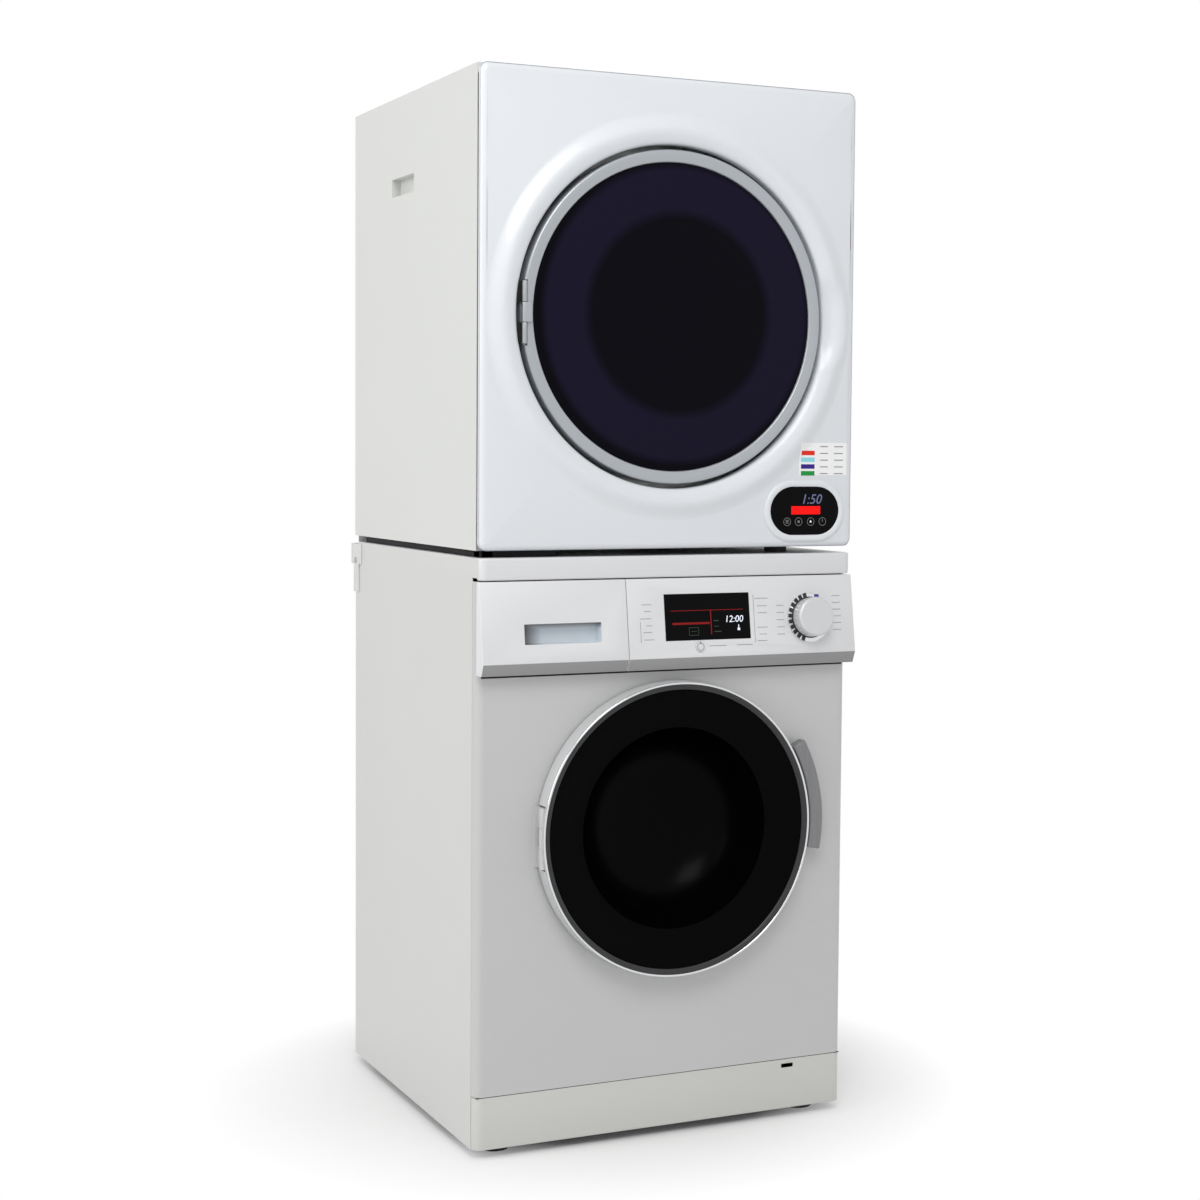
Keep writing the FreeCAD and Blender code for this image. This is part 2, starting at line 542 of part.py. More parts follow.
# ---------------------------------------------------------------- washer door
def washer_door():
    spot = {"x": "axis_x", "z": "axis_up"}
    front, back = "-door_proud", "-door_gap"
    rim = "plastic * 1.4"
    shell = turned("Y", [
        (f"{BOWL_RADIUS} + glass_thick * 2", f"{back} - plastic"),
        (f"door_radius - {rim}", f"{back} - plastic"), (f"door_radius - {rim}", f"{front} + plastic"),
        ("door_radius", f"{front} + plastic"), ("door_radius", back),
        (f"{BOWL_RADIUS} + glass_thick * 2", back)], **spot)
    knuckle = box((f"{HINGE_X} - hinge_half", f"{HINGE_X} + hinge_knuckle + plastic"),
                  ("hinge_y - hinge_knuckle - plastic", "0"),
                  ("axis_up - hinge_half", "axis_up + hinge_half"))
    slot = box((f"axis_x + {HOOK_RADIUS} - hook_wide", f"axis_x + {HOOK_RADIUS} + hook_wide * 2"),
               ("-wrap", "0"), ("axis_up + hook_deep / 2", "axis_up + hook_deep * 1.7"))
    side_slot = box((f"axis_x + {HOOK_RADIUS}", "axis_x + door_radius + wrap"),
                    ("-door_proud / 2 - plastic * 2.5", "-door_proud / 2 + plastic * 2.5"),
                    ("axis_up + hook_deep * 0.7", "axis_up + hook_deep * 1.5"))
    sub_part("washer_door_trim", turned("Y", [
        (GLASS_RADIUS, f"{front} + plastic * 2"), (GLASS_RADIUS, f"{front} + plastic"),
        (BEZEL_RADIUS, front), ("door_radius - hairline", front),
        ("door_radius", f"{front} + hairline"), ("door_radius", f"{front} + plastic"),
        (BEZEL_RADIUS, f"{front} + plastic"), (BEZEL_RADIUS, f"{front} + plastic * 2")],
        **spot))
    sub_part("washer_door_glass", turned("Y", [
        (GLASS_RADIUS, f"{front} + plastic * 2"),
        (GLASS_RADIUS, f"{front} + plastic"),
        (f"{BOWL_RADIUS} + glass_thick", "-door_proud / 2"), (BOWL_RADIUS, "-door_proud / 2"),
        (BOWL_RADIUS, "-door_proud / 2 + plastic"),
        (f"{BOWL_RADIUS} + glass_thick", "-door_proud / 2 + plastic")], **spot))
    depth = "bowl_deep"
    sub_part("washer_door_bowl", turned("Y", [
        ("0", depth), ("0", f"{depth} - glass_thick"),
        (f"{BOWL_END} - glass_thick * 3", f"{depth} - glass_thick", "glass_thick * 2"),
        (f"{BOWL_END} - glass_thick", f"{depth} - glass_thick * 3"),
        (f"{BOWL_RADIUS} - glass_thick", "-door_proud / 2 + plastic * 2"),
        (f"{BOWL_RADIUS} + glass_thick", "-door_proud / 2 + plastic * 2"),
        (f"{BOWL_RADIUS} + glass_thick", "-door_proud / 2 + plastic * 3"),
        (BOWL_RADIUS, "-door_proud / 2 + plastic * 3"),
        (BOWL_END, f"{depth} - glass_thick * 3", "-glass_thick * 3"),
        (f"{BOWL_END} - glass_thick * 3", depth)], **spot))

    fingers = "hinge_finger"
    arm = fuse(rod("Z", HINGE_X, "hinge_y", f"axis_up - {fingers}", "hinge_knuckle",
                   f"{fingers} * 2"),
               box((HINGE_X, f"{HINGE_X} + hinge_half * 0.8"),
                   ("hinge_y", "-door_gap - hairline"),
                   (f"axis_up - {fingers}", f"axis_up + {fingers}")))
    bore = rod("Z", HINGE_X, "hinge_y", "axis_up - hinge_half", "pin_radius + running",
               "hinge_half * 2")
    sub_part("washer_door_frame", fuse(cut(shell, knuckle, slot, side_slot), cut(arm, bore)))
    ears = []
    for low, high in (("-hinge_half + plastic", f"-{fingers} - slack"),
                      (f"{fingers} + slack", "hinge_half - plastic")):
        ears.append(rod("Z", HINGE_X, "hinge_y", f"axis_up + {low}", "hinge_knuckle",
                        f"({high}) - ({low})"))
        ears.append(box((f"{HINGE_X} - plastic", f"{HINGE_X} + plastic"), ("hinge_y", "0"),
                        (f"axis_up + {low}", f"axis_up + {high}")))
    pin = rod("Z", HINGE_X, "hinge_y", "axis_up - hinge_half + plastic", "pin_radius",
              "(hinge_half - plastic) * 2")
    leaf = box((f"{HINGE_X} - plastic * 3", f"{HINGE_X} + plastic * 4"), ("-hairline * 2", "0"),
               ("axis_up - hinge_half + plastic", "axis_up + hinge_half - plastic"))
    sub_part("washer_hinge_bracket", fuse(*ears, pin, leaf))


def sector(inner, outer, low, high, front, back):
    """A piece of a ring round the washer's axis, between two angles above the horizontal."""
    def at(radius, angle):
        return (f"axis_x + {radius} * cos({angle} * 1 deg)",
                f"axis_up + {radius} * sin({angle} * 1 deg)")
    outline = [at(inner, low), at(outer, low) + (outer,), at(outer, high),
               at(inner, high) + (f"-{inner}",)]
    return prism("XZ", outline, front, back)


def washer_handle():
    """The curved grip beside the door ring tips about the ring and swings the hook free."""
    sub_part("washer_door_handle", sector(HANDLE_INNER, HANDLE_OUTER, "handle_low",
                                          "handle_high", "handle_front", "handle_back"))
    slot_x = f"axis_x + {HOOK_RADIUS}"
    low, high = "axis_up + hook_deep * 0.8", "axis_up + hook_deep * 1.4"
    shank = box((slot_x, f"{slot_x} + hook_wide"), ("-door_proud / 2", "hook_deep"), (low, high))
    tooth = box((f"{slot_x} - hook_wide / 2", slot_x), ("hook_deep - hook_wide", "hook_deep"),
                (low, high))
    link = box((slot_x, f"axis_x + {HANDLE_INNER} + hook_wide"),
               ("-door_proud / 2 - plastic", "-door_proud / 2 + plastic"), (low, high))
    neck = cut(link, ring(HANDLE_OUTER, f"{HANDLE_INNER} - slack", "handle_front", "handle_back",
                          "axis_x", "axis_up"))
    sub_part("latch_hook", fuse(shank, tooth, neck))
    lock = box((f"{slot_x} - hook_wide", f"{slot_x} + lock_wide"),
               ("sheet", "lock_back"), ("axis_up + hook_deep * 1.1 - lock_tall / 2",
                                        "axis_up + hook_deep * 1.1 + lock_tall / 2"))
    throat = box((f"{slot_x} - hook_wide + sheet", f"{slot_x} + hook_wide * 2.5"),
                 ("0", "lock_back - sheet"),
                 ("axis_up + hook_deep / 2", "axis_up + hook_deep * 1.7"))
    sub_part("door_lock", cut(lock, throat))


# ---------------------------------------------------------------- washer tub and drum
def tub():
    spot = {"x": "axis_x", "z": "axis_up"}
    sub_part("door_gasket", turned("Y", [
        (f"{BOWL_RADIUS} + glass_thick", "sheet + slack"), (f"{MOUTH_RADIUS} + glass_thick", "sheet + slack"),
        (f"{MOUTH_RADIUS} + glass_thick", "sheet + plastic"),
        (f"{BOWL_RADIUS} + glass_thick + plastic", "sheet + plastic"),
        (f"{BOWL_RADIUS} + glass_thick + plastic", "neck_front - float_half * 4"),
        ("neck_radius + glass_thick * 2", "neck_front - float_half * 3"),
        ("neck_radius + glass_thick * 2", "neck_front + plastic"),
        ("neck_radius + plastic", "neck_front + plastic"),
        ("neck_radius + plastic", "neck_front"),
        ("neck_radius + glass_thick * 2 - plastic", "neck_front - hairline"),
        ("neck_radius + glass_thick * 2 - plastic", "neck_front - float_half * 3 + plastic"),
        (f"{BOWL_RADIUS} + glass_thick", "neck_front - float_half * 4 + plastic")], **spot))

    wall = "tub_wall"
    front = turned("Y", [
        ("neck_radius - tub_wall", "neck_front"), ("neck_radius", "neck_front"),
        ("neck_radius", "tub_front"), ("tub_radius", "tub_front"), ("tub_radius", "tub_split"),
        (f"tub_radius - {wall}", "tub_split"), (f"tub_radius - {wall}", f"tub_front + {wall}"),
        ("neck_radius - tub_wall", f"tub_front + {wall}")], **spot)
    lugs = [box((f"{x} - damper_radius", f"{x} + damper_radius"),
                ("damper_y - damper_radius", "damper_y + damper_radius"), ("lug_low", "axis_up"))
            for x in ("-damper_x", "damper_x")]
    core = ring(f"tub_radius - {wall} / 2", "0", "tub_front + tub_wall / 2", "tub_split * 2", **spot)
    spout = rod("Z", "axis_x", "sump_y", "hose_high", "sump_pipe", "tub_radius / 2")
    sub_part("tub_front_half", fuse(front, cut(group(*lugs, spout), core)))

    rear = turned("Y", [
        (f"tub_radius - {wall}", "tub_split + slack"), ("tub_radius", "tub_split + slack"),
        ("tub_radius", "tub_back"), ("boss_radius", "tub_back"), ("boss_radius", "boss_back"),
        ("bearing_radius", "boss_back"), ("bearing_radius", f"tub_back - {wall}"),
        (f"tub_radius - {wall}", f"tub_back - {wall}")], **spot)
    arms = [box(ends, ("spring_y - spring_radius", "spring_y + spring_radius"),
                ("spring_low - spring_radius * 2", "spring_low"))
            for ends in (("-spring_x - spring_radius", "axis_x"),
                         ("axis_x", "spring_x + spring_radius"))]
    sub_part("tub_rear_half", fuse(rear, cut(group(*arms), core_of_tub())))

    slice_out = [box(("-tub_radius * 2", "tub_radius * 2"),
                     ("neck_front - tub_radius", "tub_split"),
                     ("axis_up - weight_half_gap", "axis_up + weight_half_gap"))]
    slab = ring("weight_outer", "weight_inner", "tub_front - weight_thick", "tub_front", **spot)
    sub_part("counterweights", cut(slab, *slice_out))

    bearings = [ring("bearing_radius", "shaft_radius + running", low, f"{low} + bearing_thick / 2",
                     **spot) for low in (f"tub_back - {wall}", "boss_back - bearing_thick / 2")]
    sub_part("drum_bearings", group(*bearings))


def core_of_tub():
    return ring("tub_radius - tub_wall / 2", "0", "tub_front", "tub_back - tub_wall / 2",
                x="axis_x", z="axis_up")


def radial(angle, corners, low, high, x, z):
    """A prism drawn about the axis with Z as its spoke, then turned about Y to an angle."""
    item = prism("XZ", corners, low, high)
    return place(item, x, high, z, (0, 1, 0), angle)


def washer_drum():
    spot = {"x": "axis_x", "z": "axis_up"}
    thin = "drum_sheet"
    shell = turned("Y", [
        ("drum_mouth", "drum_front"), ("drum_radius", "drum_front"), ("drum_radius", "drum_back"),
        ("0", "drum_back"), ("0", f"drum_back - {thin}"),
        (f"drum_radius - {thin}", f"drum_back - {thin}"),
        (f"drum_radius - {thin}", f"drum_front + {thin}"), ("drum_mouth", f"drum_front + {thin}")],
        **spot)
    sub_part("washer_drum", shell)
    foot = "drum_radius - drum_sheet * 2"
    outline = [("-paddle_foot", f"{foot} - drum_sheet"), ("-paddle_tip", f"{foot} - paddle_tall"),
               ("paddle_tip", f"{foot} - paddle_tall"), ("paddle_foot", f"{foot} - drum_sheet")]
    paddles = [radial(angle, outline, "drum_front + paddle_foot", "drum_back - paddle_foot",
                      "axis_x", "axis_up") for angle in (90, 210, 330)]
    limit = ring(f"drum_radius - {thin}", "0", "drum_front", "drum_back", **spot)
    sub_part("drum_paddles", common(group(*paddles), limit))

    hub = turned("Y", [("0", "drum_back"), ("boss_radius", "drum_back"),
                       ("boss_radius", "drum_back + spider_thick"),
                       ("shaft_radius", "drum_back + spider_thick"),
                       ("shaft_radius", "pulley_front + pulley_wide"),
                       ("0", "pulley_front + pulley_wide")], **spot)
    arm = [("-spider_arm / 2", "shaft_radius"), ("spider_arm / 2", "shaft_radius"),
           ("spider_arm / 3", f"{foot} - paddle_tip"), ("-spider_arm / 3", f"{foot} - paddle_tip")]
    arms = [radial(angle, arm, "drum_back", "drum_back + spider_thick", "axis_x", "axis_up")
            for angle in (30, 150, 270)]
    sub_part("drum_spider", fuse(hub, *arms))

    half = "pulley_front + pulley_wide / 2"
    rim = ring("pulley_radius", "pulley_radius - drum_sheet * 8", "pulley_front",
               "pulley_front + pulley_wide", **spot)
    eye = ring("shaft_radius * 2", "shaft_radius", "pulley_front", "pulley_front + pulley_wide",
               **spot)
    bar = [("-shaft_radius / 2", "shaft_radius + plastic"), ("shaft_radius / 2", "shaft_radius + plastic"),
           ("shaft_radius / 2", "pulley_radius - drum_sheet * 4"),
           ("-shaft_radius / 2", "pulley_radius - drum_sheet * 4")]
    bars = [radial(60 * turn, bar, f"{half} - plastic", f"{half} + plastic", "axis_x", "axis_up")
            for turn in range(6)]
    sub_part("drum_pulley", fuse(rim, eye, *bars))


def washer_drive():
    spot = {"x": "motor_x", "z": "motor_up"}
    can = turned("Y", [
        ("spindle_radius + running", "motor_front"), ("motor_radius", "motor_front"),
        ("motor_radius", "motor_back"), ("spindle_radius + running", "motor_back")], **spot)
    mount = box(("motor_x - shaft_radius", "motor_x + shaft_radius"),
                ("motor_front + lip", "motor_back - lip * 4"), ("motor_up + motor_radius / 1.5", "axis_up"))
    seat = ring("tub_radius + slack", "0", "tub_front", "washer_deep", "axis_x", "axis_up")
    eye = rod("Y", "motor_x", "tub_front", "motor_up", "spindle_radius * 2", "washer_deep")
    sub_part("washer_motor", fuse(can, cut(mount, seat, eye)))
    sub_part("motor_pulley", turned("Y", [
        ("0", "motor_front + lip"), ("spindle_radius", "motor_front + lip"),
        ("spindle_radius", "pulley_front"), ("drive_radius", "pulley_front"),
        ("drive_radius", "pulley_front + pulley_wide"), ("0", "pulley_front + pulley_wide")],
        **spot))
    belt("washer_belt", "axis_x", "axis_up", "pulley_radius", "motor_x", "motor_up",
         "drive_radius", "pulley_front + (pulley_wide - belt_wide) / 2")


def suspension():
    springs = []
    for x in ("-spring_x", "spring_x"):
        owner = doc.addObject("PartDesign::Body", "spring")
        drawing = new_sketch(owner, "XZ_Plane")
        drawing.addGeometry(Part.Circle(Vector(value("spring_radius - spring_wire / 2"), 0, 0),
                                        Vector(0, 0, 1), value("spring_wire / 2")), False)
        fix(drawing, "DistanceX", 0, 3, "spring_radius - spring_wire / 2")
        drawing.addConstraint(Sketcher.Constraint("PointOnObject", 0, 3, -1))
        row = drawing.addConstraint(Sketcher.Constraint("Radius", 0, value("spring_wire / 2")))
        drawing.setExpression(f"Constraints[{row}]", bound("spring_wire / 2"))
        coil = owner.newObject("PartDesign::AdditiveHelix", "coil")
        coil.Profile = drawing
        coil.ReferenceAxis = (drawing, ["V_Axis"])
        coil.Mode = 0
        bind(coil, Pitch="spring_wire * 4", Height=f"{SPRING_HIGH} - spring_low - spring_wire")
        springs.append(place(owner, x, "spring_y", "spring_low + spring_wire / 2 + slack"))
    sub_part("tub_springs", group(*springs))

    bodies, rods = [], []
    for x in ("-damper_x", "damper_x"):
        low = "foot_tall + sheet"
        bodies.append(cut(rod("Z", x, "damper_y", low, "damper_radius", f"damper_top - ({low})"),
                          rod("Z", x, "damper_y", f"{low} + wrap", "rod_radius + running",
                              "damper_top")))
        rods.append(rod("Z", x, "damper_y", f"{low} + wrap * 2 + float_half",
                        "rod_radius", f"lug_low - ({low} + wrap * 2 + float_half)"))
    sub_part("damper_cylinders", group(*bodies))
    sub_part("damper_rods", group(*rods))


def drain():
    fold = "sump_pipe / 4"
    corners = [("sump_pipe - plastic", "hose_low")]
    steps = 12
    for index in range(steps + 1):
        up = f"hose_low + (hose_high - hose_low) * {index} / {steps}"
        corners.append((f"sump_pipe + {fold} * {index % 2}", up))
    for index in range(steps, 0, -1):
        up = f"hose_low + (hose_high - hose_low) * {index} / {steps}"
        corners.append((f"sump_pipe + {fold} * {index % 2} - plastic", up))
    sub_part("sump_hose", turned("Z", corners, "axis_x", "sump_y"))

    low = "filter_up"
    barrel = rod("Y", "filter_x", "wrap", low, "filter_radius + plastic", "pump_deep - wrap")
    bore = rod("Y", "filter_x", "0", low, "filter_radius + running", "wrap + filter_deep")
    pipe = rod("X", "axis_x", "sump_y", low, "sump_pipe * 0.7", "filter_x - axis_x")
    cup = rod("Z", "axis_x", "sump_y", "foot_tall + sheet * 3", "sump_pipe + plastic * 2",
              "hose_low - (foot_tall + sheet * 3)")
    well = rod("Z", "axis_x", "sump_y", f"{low} + sump_pipe", "sump_pipe - plastic", "hose_low")
    pump = rod("Y", "filter_x", "pump_deep", low, "filter_radius", "filter_deep")
    sub_part("drain_pump", cut(fuse(barrel, pipe, cup, pump), bore, well))

    plug = turned("Y", [("0", "plastic + hairline * 4"), ("filter_radius / 3", "plastic + hairline * 4"),
                        ("filter_radius / 3", "wrap - plastic"),
                        ("filter_radius + plastic", "wrap - plastic"),
                        ("filter_radius + plastic", "wrap - slack"), ("filter_radius", "wrap - slack"),
                        ("filter_radius", "filter_deep"), ("0", "filter_deep")],
                  x="filter_x", z=low)
    grip = box(("filter_x - filter_radius * 0.8", "filter_x + filter_radius * 0.8"),
               ("plastic + hairline * 4", "wrap - plastic"), (f"{low} - plastic", f"{low} + plastic"))
    sub_part("pump_filter", fuse(plug, grip))


def plumbing():
    inlets = []
    for step in range(2):
        x = f"valve_x + valve_pitch * {step}"
        inlets.append(rod("Y", x, "washer_deep - wrap * 3", VALVE_UP, "thread_radius - sheet",
                          "wrap * 3 + thread_reach / 2"))
        inlets.append(rod("Y", x, "washer_deep + hairline", VALVE_UP, "thread_radius",
                          "thread_reach - hairline"))
    manifold = box(("valve_x - thread_radius", "valve_x + valve_pitch + thread_radius"),
                   ("washer_deep - wrap * 5", "washer_deep - sheet - wrap"),
                   (f"{VALVE_UP} - thread_radius * 1.2", f"{VALVE_UP} + thread_radius * 1.2"))
    sub_part("inlet_valve", fuse(manifold, *inlets))


# ---------------------------------------------------------------- dryer cabinet
def dryer_cabinet():
    corners = [(x, y) for x in (f"-{HALF} + foot_inset * 2", f"{HALF} - foot_inset * 2")
               for y in ("foot_inset", "washer_deep - foot_inset")]
    profile = [("0", "washer_tall"), ("dryer_foot", "washer_tall"), ("dryer_foot", DRYER_LOW),
               ("0", DRYER_LOW)]
    sub_part("dryer_feet", group(*[turned("Z", profile, x, y) for x, y in corners]))

    seam_y = f"{DRYER_FACE} + wrap + hairline"
    inside = f"{HALF} - sheet"
    low, high = DRYER_LOW, f"({DRYER_TOP} - lid_thick)"
    base = cut(box(across(f"{inside} - hairline"), (seam_y, f"{DRYER_BACK} - sheet"),
                   (low, f"{low} + tray_tall / 2")),
               box(across(f"{inside} - hairline - sheet"),
                   (f"{seam_y} + sheet", f"{DRYER_BACK} - sheet * 2"),
                   (f"{low} + sheet", f"{low} + tray_tall")))
    sub_part("dryer_base_tray", base)

    grip_low = f"{DRYER_LOW} + grip_low"
    shell = box(across(HALF), (seam_y, DRYER_BACK), (low, DRYER_TOP))
    inner = box(across(inside), ("-wrap * 2", "dryer_deep"), ("0", high))
    under = box(across(f"{HALF} - corner"), ("-wrap * 2", "dryer_deep - wrap * 3"),
                (f"{high} - hairline", f"{DRYER_TOP} - sheet * 2"))
    grips, cups, rooms = [], [], []
    for side in (-1, 1):
        face = f"{side} * {HALF}"
        deep = f"{side} * ({HALF} - grip_deep)"
        wall = f"{side} * ({HALF} - grip_deep - sheet)"
        order = (lambda near, far: (far, near)) if side > 0 else (lambda near, far: (near, far))
        cups.append(box(order(face, wall), ("grip_front - sheet", "grip_back + sheet"),
                        (f"{grip_low} - sheet", f"{grip_low} + grip_tall + sheet")))
        rooms.append(box(order(f"{face} + {side} * sheet", deep), ("grip_front", "grip_back"),
                         (grip_low, f"{grip_low} + grip_tall")))
    sub_part("dryer_cabinet", cut(fuse(cut(shell, inner, under), *cups), *rooms))

    duct = {"x": "fan_x", "z": f"{DRYER_LOW} + fan_up"}
    rear = box(across(f"{inside} - slack"), (f"{DRYER_BACK} - sheet", DRYER_BACK),
               (low, high))
    collar = ring("exhaust_radius", "exhaust_radius - sheet", f"{DRYER_BACK} - lip",
                  f"{DRYER_BACK} + exhaust_reach", **duct)
    vent = rod("Y", "fan_x", f"{DRYER_BACK} - wrap", duct["z"], "exhaust_radius - sheet", "wrap * 2")
    sub_part("dryer_rear_panel", fuse(cut(rear, vent), collar,
                                      gland(DRYER_BACK, f"{low} + wrap * 2")))


def dryer_front():
    spot = {"x": "0", "z": DRYER_AXIS}
    opening = "dryer_ring + dryer_gap"
    panel = wrapped(DRYER_FACE, "sheet * 2", DRYER_LOW, DRYER_TOP)
    hole = rod("Y", "0", "-wrap * 4", DRYER_AXIS, f"{BULGE} - hairline", "wrap * 6")
    thick = "sheet * 2"
    swell = turned("Y", [
        (opening, f"{DRYER_FACE} + wrap"), (opening, f"{DRYER_FACE} - hairline"),
        (f"{CREST} - lip / 2", f"{DRYER_FACE} - bulge_proud"),
        (f"{CREST} + lip / 2", f"{DRYER_FACE} - bulge_proud"), (BULGE, DRYER_FACE),
        (BULGE, f"{DRYER_FACE} + {thick}"),
        (f"{CREST} + lip / 2", f"{DRYER_FACE} - bulge_proud + {thick}"),
        (f"{CREST} - lip / 2", f"{DRYER_FACE} - bulge_proud + {thick}"),
        (f"{opening} + {thick}", f"{DRYER_FACE} + hairline"),
        (f"{opening} + {thick}", f"{DRYER_FACE} + wrap")], **spot)
    recess = box((f"dryer_ring - corner * 3", CREST), (f"{DRYER_FACE} - bulge_proud * 2",
                                                           f"{DRYER_FACE} + hairline * 4"),
                 (f"{DRYER_AXIS} - recess_half / 2", f"{DRYER_AXIS} + recess_half / 2"))
    plate = box(across(f"{HALF} - sheet * 3"), ("bulkhead_front - sheet", "bulkhead_front"),
                (f"{DRYER_LOW} + tray_tall / 2 + hairline", f"{DRYER_TOP} - lid_thick - hairline"))
    mouth = rod("Y", "0", "0", DRYER_AXIS, "dryer_mouth", "bulkhead_front * 3")
    collar = turned("Y", [
        ("dryer_mouth", "bulkhead_front - sheet"), ("collar_radius", "bulkhead_front - sheet"),
        ("collar_radius", "tumbler_front + wrap"), ("collar_radius - sheet", "tumbler_front + wrap"),
        ("collar_radius - sheet", "bulkhead_front"), ("dryer_mouth", "bulkhead_front")], **spot)
    sub_part("dryer_front_bulkhead", fuse(cut(plate, mouth), collar))

    bezel = oval("bezel_rim", f"{DRYER_FACE} - panel_thick", DRYER_FACE)
    window = oval("slack", f"{DRYER_FACE} - panel_thick * 2", f"{DRYER_FACE} + hairline")
    folds = [common(rounded(DRYER_FACE, f"{DRYER_FACE} + wrap", low, f"{low} + {thick}"),
                    box(across("width"), ("-wrap * 2", "wrap"), (low, f"{low} + {thick}")))
             for low in (DRYER_LOW, f"{DRYER_TOP} - {thick}")]
    floor = box((f"{opening} + {thick} / 2", f"{BULGE} - hairline * 2"),
                (f"{DRYER_FACE} + hairline * 4", f"{DRYER_FACE} + hairline * 4 + {thick}"),
                (f"{DRYER_AXIS} - recess_half / 2 - hairline",
                 f"{DRYER_AXIS} + recess_half / 2 + hairline"))
    sub_part("dryer_front_panel", fuse(cut(panel, hole), cut(swell, recess), *folds, floor,
                                       cut(bezel, window), *dryer_hinge_ears()))
    sub_part("touch_panel", oval("0", f"{DRYER_FACE} - panel_thick + hairline", DRYER_FACE))


def dryer_hinge_ears():
    """Two knuckles on the left rim of the dryer's mouth, and the pin through them."""
    ears = []
    for low, high in (("-hinge_half + plastic", "-hinge_finger - slack"),
                      ("hinge_finger + slack", "hinge_half - plastic")):
        ears.append(rod("Z", DRYER_HINGE, DRYER_HINGE_Y, f"{DRYER_AXIS} + {low}",
                        "dryer_knuckle", f"({high}) - ({low})"))
        ears.append(box(("-dryer_ring - dryer_gap - sheet", DRYER_HINGE),
                        (DRYER_HINGE_Y, f"{DRYER_HINGE_Y} + dryer_knuckle"),
                        (f"{DRYER_AXIS} + {low}", f"{DRYER_AXIS} + {high}")))
    pin = rod("Z", DRYER_HINGE, DRYER_HINGE_Y, f"{DRYER_AXIS} - hinge_half + plastic",
              "pin_radius", "(hinge_half - plastic) * 2")
    return [*ears, pin]


def oval(grow, front, back):
    """The touch panel's outline, grown all round: a block with a round bar at each end."""
    radius, middle = f"(panel_tall / 2 + {grow})", f"({DRYER_LOW} + panel_up)"
    ends = [f"panel_x {sign} (panel_wide - panel_tall) / 2" for sign in "-+"]
    bars = [rod("Y", x, front, middle, radius, f"({back}) - ({front})") for x in ends]
    return fuse(box(ends, (front, back), (f"{middle} - {radius}", f"{middle} + {radius}")), *bars)


def dryer_door():
    spot = {"x": "0", "z": DRYER_AXIS}
    front = f"({DRYER_FACE} - hairline)"
    back = f"({DRYER_FACE} + dryer_ring_thick)"
    rim = turned("Y", [
        (DRYER_GLASS, f"{front} + plastic"), (f"{DRYER_GLASS} + plastic", front),
        ("dryer_ring - plastic", front), ("dryer_ring", f"{front} + plastic"),
        ("dryer_ring", back), (f"{LINER_RADIUS} + hairline", back),
        (f"{LINER_RADIUS} + hairline", f"{back} - plastic"), (DRYER_GLASS, f"{back} - plastic")],
        **spot)
    well = box((f"{DRYER_HINGE} - corner", f"{DRYER_HINGE} + dryer_knuckle + hairline"),
               (f"{DRYER_HINGE_Y} - corner", f"{DRYER_HINGE_Y} + dryer_knuckle + hairline"),
               (f"{DRYER_AXIS} - hinge_half", f"{DRYER_AXIS} + hinge_half"))
    arm = fuse(rod("Z", DRYER_HINGE, DRYER_HINGE_Y, f"{DRYER_AXIS} - hinge_finger",
                   "dryer_knuckle", "hinge_finger * 2"),
               box((DRYER_HINGE, f"{DRYER_HINGE} + corner"),
                   (DRYER_HINGE_Y, f"{DRYER_HINGE_Y} + dryer_knuckle"),
                   (f"{DRYER_AXIS} - hinge_finger", f"{DRYER_AXIS} + hinge_finger")))
    bore = rod("Z", DRYER_HINGE, DRYER_HINGE_Y, f"{DRYER_AXIS} - hinge_half",
               "pin_radius + running", "hinge_half * 2")
    sub_part("dryer_door_ring", fuse(cut(rim, well), cut(arm, bore)))
    sub_part("dryer_door_window", turned("Y", [
        ("0", front), (f"{DRYER_GLASS} - plastic", front), (f"{DRYER_GLASS} - slack", f"{front} + plastic"),
        (f"{DRYER_GLASS} - slack", f"{front} + plastic * 2"), ("0", f"{front} + plastic * 2")], **spot))
    deep = f"({DRYER_FACE} + liner_deep)"
    sub_part("dryer_door_liner", turned("Y", [
        ("0", deep), ("0", f"{deep} - plastic"), (f"{LINER_RADIUS} - lip * 2", f"{deep} - plastic"),
        (f"{LINER_RADIUS} - plastic", f"{deep} - lip"), (f"{LINER_RADIUS} - plastic", f"{front} + plastic * 3"),
        (LINER_RADIUS, f"{front} + plastic * 3"), (LINER_RADIUS, f"{deep} - lip"),
        (f"{LINER_RADIUS} - lip * 2", deep)], **spot))


